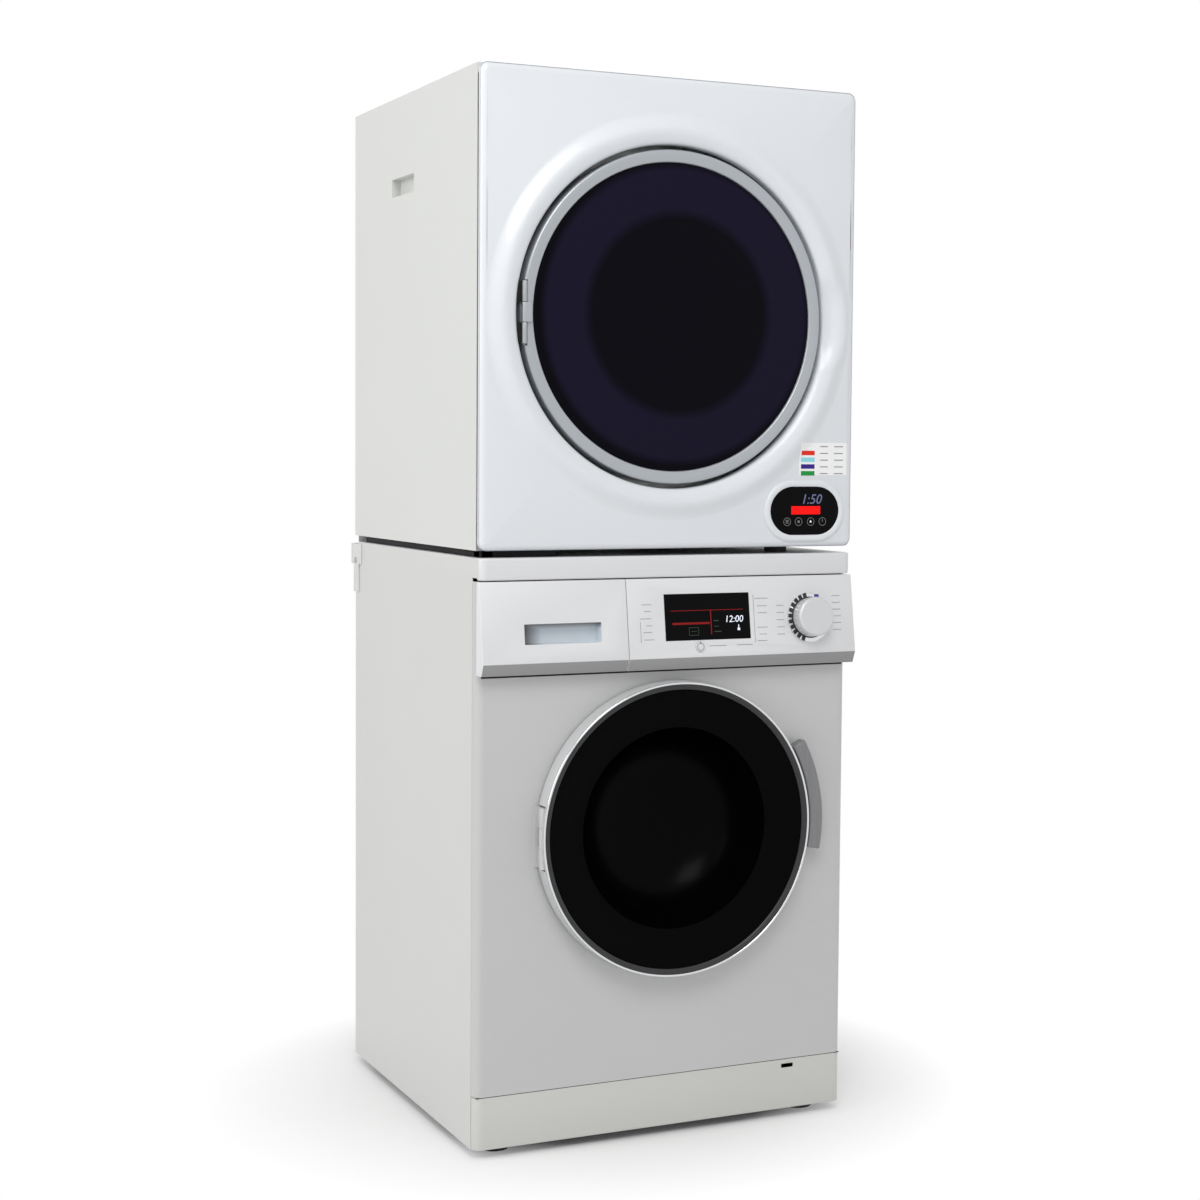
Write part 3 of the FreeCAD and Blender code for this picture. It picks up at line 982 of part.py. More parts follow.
# ---------------------------------------------------------------- dryer drum and drive
def dryer_drum():
    spot = {"x": "0", "z": DRYER_AXIS}
    thin = "drum_sheet"
    shell = turned("Y", [
        ("tumbler_lip", "tumbler_front"), ("tumbler_radius", "tumbler_front"),
        ("tumbler_radius", "tumbler_back"), ("tumbler_lip", "tumbler_back"),
        ("tumbler_lip", f"tumbler_back - {thin}"),
        (f"tumbler_radius - {thin}", f"tumbler_back - {thin}"),
        (f"tumbler_radius - {thin}", f"tumbler_front + {thin}"),
        ("tumbler_lip", f"tumbler_front + {thin}")], **spot)
    root = "tumbler_radius"
    outline = [("-paddle_foot", root), ("-paddle_tip", f"{root} - lifter_tall"),
               ("paddle_tip", f"{root} - lifter_tall"), ("paddle_foot", root)]
    inside = [(f"-paddle_foot + {thin} * 4.5", f"{root} - lip / 2"),
              (f"-paddle_tip + {thin}", f"{root} - lifter_tall + {thin}"),
              (f"paddle_tip - {thin}", f"{root} - lifter_tall + {thin}"),
              (f"paddle_foot - {thin} * 4.5", f"{root} - lip / 2")]
    front, back = "tumbler_front + paddle_foot", "tumbler_back - paddle_foot"
    angles = (90, 210, 330)
    blades = [radial(angle, outline, front, back, "0", DRYER_AXIS) for angle in angles]
    hollows = [radial(angle, inside, f"{front} + {thin}", f"{back} + {thin}", "0", DRYER_AXIS)
               for angle in angles]
    limit = ring(f"tumbler_radius - {thin} / 2", "0", "tumbler_front", "tumbler_back", **spot)
    lifters = cut(common(group(*blades), limit), group(*hollows))
    sub_part("dryer_drum", fuse(shell, lifters))

    plate = box(across(f"{HALF} - sheet * 3"), ("bulkhead_back", "bulkhead_back + sheet"),
                (f"{DRYER_LOW} + tray_tall / 2 + hairline", f"{DRYER_TOP} - lid_thick - hairline"))
    collar = ring("collar_radius", "collar_radius - sheet", "tumbler_back - wrap", "bulkhead_back",
                  **spot)
    port = rod("Y", "0", "bulkhead_back - wrap", DRYER_AXIS, "filter_dial + running", "wrap * 2")
    cover = turned("Y", [
        ("filter_dial * 1.6", "bulkhead_back + sheet"), ("collar_radius", "bulkhead_back + sheet"),
        ("collar_radius - lip", f"{DRYER_BACK} - wrap"), ("0", f"{DRYER_BACK} - wrap"),
        ("0", f"{DRYER_BACK} - wrap - sheet"), ("collar_radius - lip * 1.2", f"{DRYER_BACK} - wrap - sheet"),
        ("collar_radius - lip / 2", "bulkhead_back + sheet * 2"),
        ("filter_dial * 1.6", "bulkhead_back + sheet * 2")], **spot)
    sub_part("dryer_rear_bulkhead", fuse(cut(plate, port), collar, cover))
    dial = turned("Y", [
        ("0", "bulkhead_back - lip"), ("filter_dial * 1.15", "bulkhead_back - lip"),
        ("filter_dial * 1.15", "bulkhead_back - slack"), ("filter_dial", "bulkhead_back - slack"),
        ("filter_dial", "bulkhead_back + lip * 2"), ("0", "bulkhead_back + lip * 2")], **spot)
    bar = box(across("filter_dial * 0.8"), ("bulkhead_back - lip * 2", "bulkhead_back - lip"),
              (f"{DRYER_AXIS} - plastic * 2", f"{DRYER_AXIS} + plastic * 2"))
    sub_part("lint_filter", fuse(dial, bar))


def dryer_drive():
    spot = {"x": "fan_x", "z": f"{DRYER_LOW} + fan_up"}
    can = turned("Y", [
        ("spindle_radius + running", "fan_front + fan_wide - sheet"),
        ("spindle_radius * 2", "fan_front + fan_wide - sheet"),
        ("spindle_radius * 2", "dryer_motor_front"), ("dryer_motor_radius", "dryer_motor_front"),
        ("dryer_motor_radius", "dryer_motor_back"), ("spindle_radius + running", "dryer_motor_back")],
        **spot)
    shell = turned("Y", [
        ("0", "fan_front - sheet"), ("fan_radius", "fan_front - sheet"),
        ("fan_radius", "fan_front + fan_wide"), ("spindle_radius * 2", "fan_front + fan_wide"),
        ("spindle_radius * 2", "fan_front + fan_wide - sheet"),
        ("fan_radius - sheet", "fan_front + fan_wide - sheet"), ("fan_radius - sheet", "fan_front"),
        ("0", "fan_front")], **spot)
    sub_part("dryer_motor", fuse(can, shell))
    shaft = turned("Y", [
        ("0", "fan_front + plastic * 2"), ("spindle_radius", "fan_front + plastic * 2"),
        ("spindle_radius", "dryer_belt_at - plastic"), ("dryer_drive", "dryer_belt_at - plastic"),
        ("dryer_drive", "dryer_belt_at + belt_wide + plastic"), ("0", "dryer_belt_at + belt_wide + plastic")],
        **spot)
    blade = [("-hairline", "spindle_radius"), ("hairline", "spindle_radius"),
             ("hairline", "fan_radius - plastic * 2"), ("-hairline", "fan_radius - plastic * 2")]
    blades = [radial(45 * turn, blade, "fan_front + plastic * 2", "fan_front + fan_wide - plastic * 2",
                     "fan_x", spot["z"]) for turn in range(8)]
    eye = ring("spindle_radius * 1.6", "spindle_radius", "fan_front + plastic * 2",
               "fan_front + fan_wide - plastic * 2", **spot)
    sub_part("blower_wheel", fuse(shaft, eye, *blades))
    belt("dryer_belt", "0", DRYER_AXIS, "tumbler_radius", "fan_x", spot["z"], "dryer_drive",
         "dryer_belt_at")


def stacking_kit():
    straps, screws = [], []
    for side in (-1, 1):
        order = (lambda near, far: (near, far)) if side > 0 else (lambda near, far: (far, near))
        face, out = f"{side} * {HALF}", f"{side} * ({HALF} + strap_thick)"
        inward = f"{side} * ({HALF} - foot_inset)"
        flange = box(order(face, out), ("strap_front", "strap_back"), (STRAP_MID, STRAP_HIGH))
        tab = box(order(face, out), ("strap_front + corner", "strap_back - corner"),
                  (STRAP_LOW, STRAP_MID))
        back = box(order(inward, out), ("strap_back - strap_thick", "strap_back"),
                   (STRAP_MID, STRAP_HIGH))
        tongue = box(order(inward, f"{inward} + {side} * foot_inset * 0.8"),
                     ("strap_back - strap_thick", "strap_back"), (STRAP_HIGH, STRAP_TONGUE))
        straps.append(fuse(flange, tab, back, tongue))
        low = order(out, f"{out} + {side} * hairline * 1.5")
        screws.append(rod("X", low[0], "(strap_front + strap_back) / 2", f"{STRAP_MID} + lip / 2",
                          "screw_radius * 1.5", "hairline * 1.5"))
        screws.append(rod("Y", f"{inward} + {side} * foot_inset * 0.4", DRYER_BACK,
                          f"{STRAP_TONGUE} - lip", "screw_radius * 1.5",
                          f"strap_back - strap_thick - {DRYER_BACK}"))
    sub_part("stack_brackets", group(*straps))
    sub_part("bracket_screws", group(*screws))


def build():
    for step in (washer_cabinet, washer_controls, detergent_drawer, washer_door, washer_handle,
                 tub, washer_drum, washer_drive, suspension, drain, plumbing, dryer_cabinet,
                 dryer_front, dryer_door, dryer_drum, dryer_drive, stacking_kit):
        step()
    doc.recompute()


def check():
    """Stop if any object failed or any sub-part is empty or broken."""
    faults = [f"{item.Label} ({item.Name}) failed" for item in doc.Objects
              if {"Invalid", "Error"} & set(item.State)]
    faults += [f"{item.Label} has no valid solid" for item in parts
               if item.Shape.isNull() or not item.Shape.isValid() or not item.Shape.Solids]
    if faults:
        raise RuntimeError("; ".join(faults))


def export():
    os.makedirs("parts", exist_ok=True)
    for item in parts:
        item.Shape.exportStep(f"parts/{item.Label}.step")


build()
check()
export()
print(len(parts), "sub-parts")
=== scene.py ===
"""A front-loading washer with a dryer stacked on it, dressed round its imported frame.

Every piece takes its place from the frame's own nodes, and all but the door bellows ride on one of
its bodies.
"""
import math

import bpy
from mathutils import Matrix, Vector


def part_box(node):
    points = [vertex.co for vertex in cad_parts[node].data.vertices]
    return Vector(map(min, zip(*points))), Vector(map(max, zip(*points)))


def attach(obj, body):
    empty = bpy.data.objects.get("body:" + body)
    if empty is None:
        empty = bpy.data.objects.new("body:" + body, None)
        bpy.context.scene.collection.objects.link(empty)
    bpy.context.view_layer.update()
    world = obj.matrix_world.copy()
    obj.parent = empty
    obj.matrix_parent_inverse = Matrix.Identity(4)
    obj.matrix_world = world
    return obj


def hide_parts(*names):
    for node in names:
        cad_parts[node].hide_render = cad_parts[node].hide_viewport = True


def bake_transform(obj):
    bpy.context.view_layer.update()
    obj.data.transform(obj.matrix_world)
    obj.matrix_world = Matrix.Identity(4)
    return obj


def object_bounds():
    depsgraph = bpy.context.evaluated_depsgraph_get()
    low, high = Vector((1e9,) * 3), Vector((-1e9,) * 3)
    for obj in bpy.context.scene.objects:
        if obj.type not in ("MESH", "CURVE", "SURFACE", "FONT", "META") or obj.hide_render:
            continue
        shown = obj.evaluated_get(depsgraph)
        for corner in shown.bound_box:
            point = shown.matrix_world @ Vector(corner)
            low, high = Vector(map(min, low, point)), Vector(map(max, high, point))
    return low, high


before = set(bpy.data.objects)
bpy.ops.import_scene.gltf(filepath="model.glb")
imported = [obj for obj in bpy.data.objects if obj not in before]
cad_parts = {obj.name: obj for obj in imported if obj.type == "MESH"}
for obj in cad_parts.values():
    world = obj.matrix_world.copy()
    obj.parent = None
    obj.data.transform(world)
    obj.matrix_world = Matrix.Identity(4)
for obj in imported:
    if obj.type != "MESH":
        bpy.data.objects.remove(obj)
cad_low, cad_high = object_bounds()

# ---------------------------------------------------------------- camera
# A lens a little longer than normal, at chest height and well to the left of the doors,
# turned back to the stack.  The side it stands on shows the cabinets' left flanks.
panel_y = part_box("washer_front_panel")[0].y
yaw, pitch, roll = 0.4284, -0.0553, 0.0069
ahead = Vector((math.sin(yaw) * math.cos(pitch), math.cos(yaw) * math.cos(pitch), math.sin(pitch)))
level = ahead.cross(Vector((0, 0, 1))).normalized()
upward = level.cross(ahead)
right = level * math.cos(roll) + upward * math.sin(roll)
above = upward * math.cos(roll) - level * math.sin(roll)
stand = Vector((-1.3497, panel_y - 2.7147, 1.005))
bpy.ops.object.camera_add()
camera = bpy.context.object
camera.matrix_world = Matrix(((right.x, above.x, -ahead.x, stand.x),
                              (right.y, above.y, -ahead.y, stand.y),
                              (right.z, above.z, -ahead.z, stand.z), (0, 0, 0, 1)))
camera.data.lens = 62.96
camera.data.shift_y = -0.03
camera.data.clip_end = 50
bpy.context.scene.camera = camera
bpy.context.scene.view_settings.view_transform = "Standard"


# ---------------------------------------------------------------- studio
# A pale sweep.  Its floor is matt and keeps the shadow under the cabinet, and past that it
# goes over into the plain white of the far wall.
class Wire:
    """One output of a shader node, which can be added, multiplied and compared."""

    def __init__(self, finish, socket):
        self.finish, self.socket = finish, socket

    def __add__(self, other):
        return self.finish.maths("ADD", self, other)

    def __sub__(self, other):
        return self.finish.maths("SUBTRACT", self, other)

    def __rsub__(self, other):
        return self.finish.maths("SUBTRACT", other, self)

    def __mul__(self, other):
        return self.finish.maths("MULTIPLY", self, other)

    def __truediv__(self, other):
        return self.finish.maths("DIVIDE", self, other)

    def __pow__(self, other):
        return self.finish.maths("POWER", self, other)

    def __mod__(self, other):
        return self.finish.maths("FLOORED_MODULO", self, other)

    __radd__, __rmul__ = __add__, __mul__


class Finish:
    """A surface finish: a Principled shader and the nodes that vary it over the surface."""

    def __init__(self, name, colour, roughness, **sockets):
        self.material = bpy.data.materials.new(name)
        self.material.use_nodes = True
        self.tree = self.material.node_tree
        self.skin = self.tree.nodes["Principled BSDF"]
        self.colour, self.gloss = (*colour, 1), roughness
        self.feed("Base Color", self.colour)
        self.feed("Roughness", roughness)
        for key, amount in sockets.items():
            self.feed(key.replace("_", " ").title().replace("Ior", "IOR"), amount)

    def plug(self, socket, value):
        if isinstance(value, Wire):
            self.tree.links.new(value.socket, socket)
        else:
            socket.default_value = value

    def feed(self, socket, value):
        self.plug(self.skin.inputs[socket], value)

    def node(self, kind, settings=None, *values, out=0, **named):
        """Add a node: its settings first, then its sockets, by order or by name."""
        item = self.tree.nodes.new(kind)
        for key, setting in (settings or {}).items():
            setattr(item, key, setting)
        for index, value in enumerate(values):
            self.plug(item.inputs[index], value)
        for key, value in named.items():
            self.plug(item.inputs[key.replace("_", " ")], value)
        return Wire(self, item.outputs[out])

    def maths(self, operation, *values):
        return self.node("ShaderNodeMath", {"operation": operation}, *values)

    def spot(self):
        """Where a point lies on the piece, in metres."""
        return self.node("ShaderNodeTexCoord", out="Object")

    def axes(self, vector=None):
        parts = self.node("ShaderNodeSeparateXYZ", None, vector or self.spot())
        return [Wire(self, output) for output in parts.socket.node.outputs]

    def noise(self, scale, detail=2.0, vector=None):
        return self.node("ShaderNodeTexNoise", None, out="Fac", Vector=vector or self.spot(),
                         Scale=scale, Detail=detail)

    def step(self, value, low, high):
        """Zero below low, one above high, and an even slope between."""
        return self.node("ShaderNodeMapRange", {"clamp": True}, value, low, high)

    def blend(self, factor, first, second):
        """The first colour where the factor is zero and the second where it is one."""
        item = self.node("ShaderNodeMix", {"data_type": "RGBA"}).socket.node
        for index, value in ((0, factor), (6, first), (7, second)):
            self.plug(item.inputs[index], value)
        return Wire(self, item.outputs[2])

    def bump(self, height, strength, distance=0.001):
        self.feed("Normal", self.node("ShaderNodeBump", None, Height=height, Strength=strength,
                                      Distance=distance))

    def worn(self, spread, grain=900, relief=0.03, shade=0.97):
        """Fine grain, soft smudges in the gloss and a faint change of tone from use."""
        smudge = self.noise(7, 4)
        self.feed("Roughness", smudge * spread + (self.gloss - spread / 2))
        darker = (*[c * shade for c in self.colour[:3]], 1)
        self.feed("Base Color", self.blend(self.noise(3, 3), darker, self.colour))
        self.bump(self.noise(grain, 2), relief)
        return self


bpy.ops.object.select_all(action="DESELECT")
bpy.ops.mesh.primitive_plane_add(size=60, location=(0, 0, cad_low.z))
floor = bpy.context.object
floor.name = "studio_floor"
matt = Finish("studio_floor_white", (0.92, 0.92, 0.92), 0.9, specular_ior_level=0.0)
matt.bump(matt.noise(40), 0.01)
east, north, _ = matt.axes()
reach = (east * east * 0.8 + (north - 0.02) * (north - 0.02)) ** 0.5
ray = matt.node("ShaderNodeLightPath").socket.node.outputs
looked_at = matt.maths("MAXIMUM", Wire(matt, ray["Is Camera Ray"]),
                       Wire(matt, ray["Is Glossy Ray"]))
looked_at = matt.maths("MAXIMUM", looked_at, Wire(matt, ray["Is Transmission Ray"]))
glow = matt.node("ShaderNodeEmission", None, (1, 1, 1, 1), 1.0)
shadow_end, white_start = 0.30, 0.54
melt = matt.node("ShaderNodeMixShader", None,
                 looked_at * matt.step(reach, shadow_end, white_start))
matt.plug(melt.socket.node.inputs[1], Wire(matt, matt.skin.outputs[0]))
matt.plug(melt.socket.node.inputs[2], glow)
matt.plug(matt.tree.nodes["Material Output"].inputs["Surface"], melt)
floor.data.materials.append(matt.material)

world = bpy.data.worlds.new("white_studio")
bpy.context.scene.world = world
world.use_nodes = True
sky = world.node_tree
rays = sky.nodes.new("ShaderNodeLightPath").outputs
seen = [rays["Is Camera Ray"]]
for kind in ("Is Glossy Ray", "Is Transmission Ray"):
    either = sky.nodes.new("ShaderNodeMath")
    either.operation = "MAXIMUM"
    sky.links.new(seen[-1], either.inputs[0])
    sky.links.new(rays[kind], either.inputs[1])
    seen.append(either.outputs[0])
strength = sky.nodes.new("ShaderNodeMapRange")
fill_light, white_wall = 0.58, 1.0
strength.inputs["To Min"].default_value = fill_light
strength.inputs["To Max"].default_value = white_wall
sky.links.new(seen[-1], strength.inputs["Value"])
sky.links.new(strength.outputs[0], sky.nodes["Background"].inputs["Strength"])
sky.nodes["Background"].inputs["Color"].default_value = (1, 1, 1, 1)

for name, place, aim, size, power in (
        ("softbox_high", (-0.9, -2.3, 2.9), (0, -0.3, 1.1), 1.5, 34),
        ("softbox_left", (-3.0, -0.4, 1.9), (0, 0, 0.9), 1.8, 26)):
    bpy.ops.object.light_add(type="AREA", location=place)
    softbox = bpy.context.object
    softbox.name = name
    softbox.data.size = size
    softbox.data.energy = power
    softbox.rotation_euler = (Vector(aim) - Vector(place)).to_track_quat("-Z", "Y").to_euler()


# ---------------------------------------------------------------- sheet-steel cabinets
# Both cabinets are folded sheet steel under a baked white enamel, with plain galvanised
# trays below and a galvanised back on the dryer.
def paint(finish, *nodes):
    """Give nodes of the frame their finish."""
    for node in nodes:
        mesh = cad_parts[node].data
        mesh.materials.clear()
        mesh.materials.append(finish.material)


enamel = Finish("side_enamel", (0.69, 0.70, 0.675), 0.36, coat_weight=0.2).worn(0.12)
# The washer's sides and back cover take a darker copy of the same white enamel, as painted shade.
washer_shaded_enamel = Finish("washer_side_enamel_painted_shade", (0.65, 0.655, 0.635), 0.38, coat_weight=0.15)
washer_shaded_enamel.worn(0.12)
paint(enamel, "dryer_cabinet")
paint(washer_shaded_enamel, "washer_cabinet", "washer_rear_cover")
galvanised = Finish("galvanised_sheet", (0.46, 0.47, 0.48), 0.42, metallic=0.85)
spangle = galvanised.node("ShaderNodeTexVoronoi", None, out="Color", Vector=galvanised.spot(),
                          Scale=150.0)
flake, _, _ = galvanised.axes(spangle)
galvanised.feed("Base Color", galvanised.blend(flake, (0.40, 0.41, 0.42, 1),
                                               (0.52, 0.53, 0.54, 1)))
galvanised.feed("Roughness", flake * 0.2 + 0.3)
paint(galvanised, "washer_base_tray", "dryer_base_tray", "dryer_rear_panel",
      "dryer_front_bulkhead", "dryer_rear_bulkhead")


# ---------------------------------------------------------------- washer front and kick plate
# One enamelled sheet closes the front round the door, and a narrow plate below it covers the
# drain filter.  The plate's cut edges are rolled, so the frame's own shape gets rounded edges here.
def alone(piece):
    bpy.ops.object.select_all(action="DESELECT")
    piece.select_set(True)
    bpy.context.view_layer.objects.active = piece


def settle(piece, angle=35):
    """Leave a piece at the origin, clean, facing outwards, and smooth below an angle."""
    alone(piece)
    bpy.ops.object.transform_apply(location=True, rotation=True, scale=True)
    bpy.ops.object.mode_set(mode="EDIT")
    bpy.ops.mesh.select_all(action="SELECT")
    bpy.ops.mesh.remove_doubles(threshold=2e-6)
    bpy.ops.mesh.normals_make_consistent(inside=False)
    bpy.ops.object.mode_set(mode="OBJECT")
    bpy.ops.object.shade_smooth_by_angle(angle=math.radians(angle))
    return piece


def dress(piece, name, finish, body, *nodes, slot=None):
    """Name a piece, give it a finish and let it ride on its body."""
    piece.name = name
    piece.data.materials.clear()
    piece.data.materials.append(finish.material)
    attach(piece, body)
    if nodes:
        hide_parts(*nodes)
    return piece


def rolled(node, edge, segments=3):
    """A copy of a node with its sharp edges rolled over."""
    alone(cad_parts[node])
    bpy.ops.object.duplicate()
    piece = bpy.context.object
    piece.parent = None
    piece.hide_render = piece.hide_viewport = False
    alone(piece)
    bpy.ops.object.mode_set(mode="EDIT")
    bpy.ops.mesh.select_all(action="SELECT")
    bpy.ops.mesh.remove_doubles(threshold=2e-6)
    bpy.ops.mesh.dissolve_limited(angle_limit=math.radians(0.5))
    bpy.ops.object.mode_set(mode="OBJECT")
    bpy.ops.object.modifier_add(type="BEVEL")
    bevel = piece.modifiers[-1]
    bevel.width, bevel.segments = edge, segments
    bevel.limit_method, bevel.angle_limit = "ANGLE", math.radians(32)
    bpy.ops.object.modifier_apply(modifier=bevel.name)
    bpy.ops.object.shade_smooth_by_angle(angle=math.radians(30))
    return piece


front_enamel = Finish("washer_front_enamel", (0.575, 0.575, 0.575), 0.34, coat_weight=0.2)
front_enamel.worn(0.1)
kick_enamel = Finish("kick_plate_enamel", (0.63, 0.63, 0.60), 0.4).worn(0.1)
dress(rolled("kick_plate", 0.002), "kick_plate_cover", kick_enamel, "kick_plate", "kick_plate",
      slot="white_enamel")
paint(front_enamel, "washer_front_panel", "washer_hinge_bracket")
# A flat black for black trim, also laid in thin strips in gaps as painted shade.
black_and_gap_shade = Finish("black_trim_and_gap_shade", (0.012, 0.012, 0.0125), 0.6, specular_ior_level=0.15)
black_and_gap_shade.worn(0.1, 400, 0.08)

# ---------------------------------------------------------------- worktop
# A white moulded slab caps the washer, with rounded corners and rolled edges.  Its front edge
# hangs down to just above the control panel.  It takes a darker copy of the panel's white
# moulding as painted shade, and its faces to the left and right take the washer's darker side
# enamel, also as painted shade.
moulded = Finish("white_moulding", (0.765, 0.77, 0.785), 0.33, coat_weight=0.15).worn(0.12)
worktop_shaded_white = Finish("worktop_moulding_painted_shade", (0.735, 0.74, 0.76), 0.35, coat_weight=0.1).worn(0.12)


def slab(low, high, corner, edge, upright=2):
    """A block with four round corners about one axis and rolled edges all round."""
    low, high = Vector(low), Vector(high)
    bpy.ops.object.select_all(action="DESELECT")
    bpy.ops.mesh.primitive_cube_add(size=1, location=(low + high) / 2, scale=high - low)
    piece = bpy.context.object
    bpy.ops.object.transform_apply(location=True, rotation=True, scale=True)
    for turn, size in enumerate((corner, edge)):
        bpy.ops.object.mode_set(mode="EDIT")
        bpy.ops.mesh.select_all(action="DESELECT")
        bpy.ops.mesh.select_mode(type="EDGE")
        bpy.ops.object.mode_set(mode="OBJECT")
        for line in piece.data.edges:
            ends = [piece.data.vertices[v].co for v in line.vertices]
            stands = abs(ends[0][upright] - ends[1][upright]) > 1e-6
            line.select = stands if turn == 0 else not stands
        bpy.ops.object.mode_set(mode="EDIT")
        bpy.ops.mesh.bevel(offset=size, segments=6 - 2 * turn, affect="EDGES")
    bpy.ops.object.mode_set(mode="OBJECT")
    return piece


def shaded(piece, finish, wanted):
    """Give the faces that pass a test another finish, and return their centres."""
    piece.data.materials.append(finish.material)
    chosen = [face for face in piece.data.polygons if wanted(face)]
    for face in chosen:
        face.material_index = len(piece.data.materials) - 1
    return [face.center.copy() for face in chosen]


def carve(piece, cutter):
    """Cut one piece out of another, and clear the cutter away."""
    alone(piece)
    bpy.ops.object.modifier_add(type="BOOLEAN")
    cut = piece.modifiers[-1]
    cut.object, cut.operation, cut.solver = cutter, "DIFFERENCE", "EXACT"
    bpy.ops.object.modifier_apply(modifier=cut.name)
    bpy.data.objects.remove(cutter)


low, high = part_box("washer_worktop")
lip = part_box("control_panel")[1].z + 0.0016
worktop = slab((low.x, low.y, lip), high, 0.012, 0.003)
bpy.ops.mesh.primitive_cube_add(size=1, location=(0, panel_y + 0.4, low.z - 0.05),
                                scale=(1, 0.804, 0.1))
carve(worktop, bpy.context.object)
dress(settle(worktop), "worktop_slab", worktop_shaded_white, "housing", "washer_worktop",
      slot="white_plastic")
# The slab's faces to the left and right take the washer's darker side enamel, as painted shade.
shaded(worktop, washer_shaded_enamel, lambda face: abs(face.normal.x) > 0.8)

# ---------------------------------------------------------------- control panel
# A white moulding leans back above the front sheet, with a ledge and a chamfer under it whose
# downward faces are painted grey as shade.  Fine printed index lines stand beside the display
# and the knob, and thin black strips lie in the seams above and below the front sheet as
# painted shade of those gaps.
# Downward faces of the panel and of the drawer's front are painted in this grey as shade.
chamfer_painted_shade = Finish("chamfer_painted_shade", (0.30, 0.302, 0.30), 0.45).worn(0.1)


def faces_down(face):
    return face.normal.z < -0.3 and face.normal.y < -0.1


paint(moulded, "detergent_drawer")
fascia = dress(rolled("control_panel", 0.0014), "control_fascia", moulded, "housing",
               "control_panel", slot="white_plastic")
shaded(fascia, chamfer_painted_shade, faces_down)
fascia_low, fascia_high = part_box("control_panel")
lean = math.atan2(0.016, 0.114)
outward = Vector((0, -math.cos(lean), math.sin(lean)))
uphill = Vector((0, math.sin(lean), math.cos(lean)))
fascia_top = Vector((0, panel_y - 0.011, fascia_high.z))


def on_fascia(x, z, proud=0.0):
    """A point on the leaning face, or a little proud of it."""
    return Vector((x, fascia_top.y - (fascia_top.z - z) * math.tan(lean), z)) + outward * proud


def tile(centre, width, height, thick, facing, edge=0.0):
    """A thin plate lying on a face, with its long edges rolled."""
    bpy.ops.object.select_all(action="DESELECT")
    bpy.ops.mesh.primitive_cube_add(size=1, location=(0, 0, 0), scale=(width, thick, height))
    piece = bpy.context.object
    bpy.ops.object.transform_apply(location=True, rotation=True, scale=True)
    if edge:
        bpy.ops.object.mode_set(mode="EDIT")
        bpy.ops.mesh.select_all(action="SELECT")
        bpy.ops.mesh.bevel(offset=edge, segments=3, affect="EDGES")
        bpy.ops.object.mode_set(mode="OBJECT")
    piece.rotation_euler.x = -facing
    piece.location = centre
    bpy.ops.object.transform_apply(location=True, rotation=True, scale=True)
    return piece


def joined(pieces):
    """Several meshes made one piece."""
    bpy.ops.object.select_all(action="DESELECT")
    for piece in pieces:
        piece.select_set(True)
    bpy.context.view_layer.objects.active = pieces[0]
    bpy.ops.object.join()
    return bpy.context.object


grey_ink = Finish("grey_print", (0.22, 0.23, 0.25), 0.6).worn(0.05, 2000, 0.02)
lines = []
for x, z, length in [(-0.044, 0.781, 0.016), (-0.043, 0.7715, 0.011), (-0.0465, 0.761, 0.018),
                     (-0.041, 0.751, 0.010), (-0.044, 0.7415, 0.014), (-0.042, 0.731, 0.016),
                     (0.143, 0.786, 0.022), (0.144, 0.775, 0.016), (0.144, 0.765, 0.015),
                     (0.143, 0.744, 0.017), (0.144, 0.734, 0.012), (0.142, 0.7245, 0.016),
                     (0.174, 0.775, 0.012), (0.174, 0.7645, 0.012), (0.174, 0.754, 0.013),
                     (0.174, 0.7435, 0.013), (0.174, 0.733, 0.013), (0.270, 0.787, 0.014),
                     (0.270, 0.777, 0.014), (0.270, 0.767, 0.014), (0.270, 0.757, 0.014),
                     (0.270, 0.747, 0.014), (0.270, 0.737, 0.014), (0.068, 0.7195, 0.028),
                     (0.112, 0.7195, 0.026)]:
    lines.append(tile(on_fascia(x, z, 0.00012), length, 0.0007, 0.00025, lean))
for x, low_z, high_z in ((-0.055, 0.727, 0.757), (0.130, 0.722, 0.792)):
    lines.append(tile(on_fascia(x, (low_z + high_z) / 2, 0.00012), 0.0005, high_z - low_z,
                      0.00025, lean))
dress(joined(lines), "printed_index_lines", grey_ink, "housing", slot="dark_trim")
# Thin black strips lie in the seams above and below the front sheet as painted shade of the gaps.
shade_strip_tall = 0.0044
dress(tile((0, panel_y - 0.0005, fascia_low.z - shade_strip_tall / 2), 0.582, shade_strip_tall, 0.001, 0),
      "fascia_gap_shade_strip", black_and_gap_shade, "housing", slot="dark_trim")
plate_top, sheet_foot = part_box("kick_plate")[1].z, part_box("washer_front_panel")[0].z
kick_gap = max(sheet_foot - plate_top, 0.0008)
dress(tile((0, panel_y + 0.0012, (plate_top + sheet_foot) / 2), 0.592, kick_gap, 0.0012, 0),
      "kick_plate_gap_shade_strip", black_and_gap_shade, "housing", slot="dark_trim")

# ---------------------------------------------------------------- display
# A flush window of black acrylic.  On it glow a clock, a small door sign, thin red frames and
# dim programme symbols.
acrylic = Finish("display_acrylic", (0.0025, 0.0025, 0.003), 0.12, specular_ior_level=0.05)
acrylic.feed("Roughness", acrylic.noise(8, 4) * 0.08 + 0.08)
dress(rolled("display_window", 0.0006), "display_glass", acrylic, "housing", "display_window",
      slot="display_black")
glass_out = 0.00045


def lit(name, colour, strength):
    """A printed sign with a lamp behind it."""
    finish = Finish(name, colour, 0.4, emission_strength=strength, specular_ior_level=0.05)
    glow = finish.noise(60, 2) * 0.3 + 0.85
    finish.feed("Base Color", finish.blend(glow * 0.5, (0.01, 0.01, 0.01, 1), (*colour, 1)))
    dimmer = (*[c * 0.6 for c in colour], 1)
    finish.feed("Emission Color", finish.blend(glow, dimmer, (*colour, 1)))
    return finish


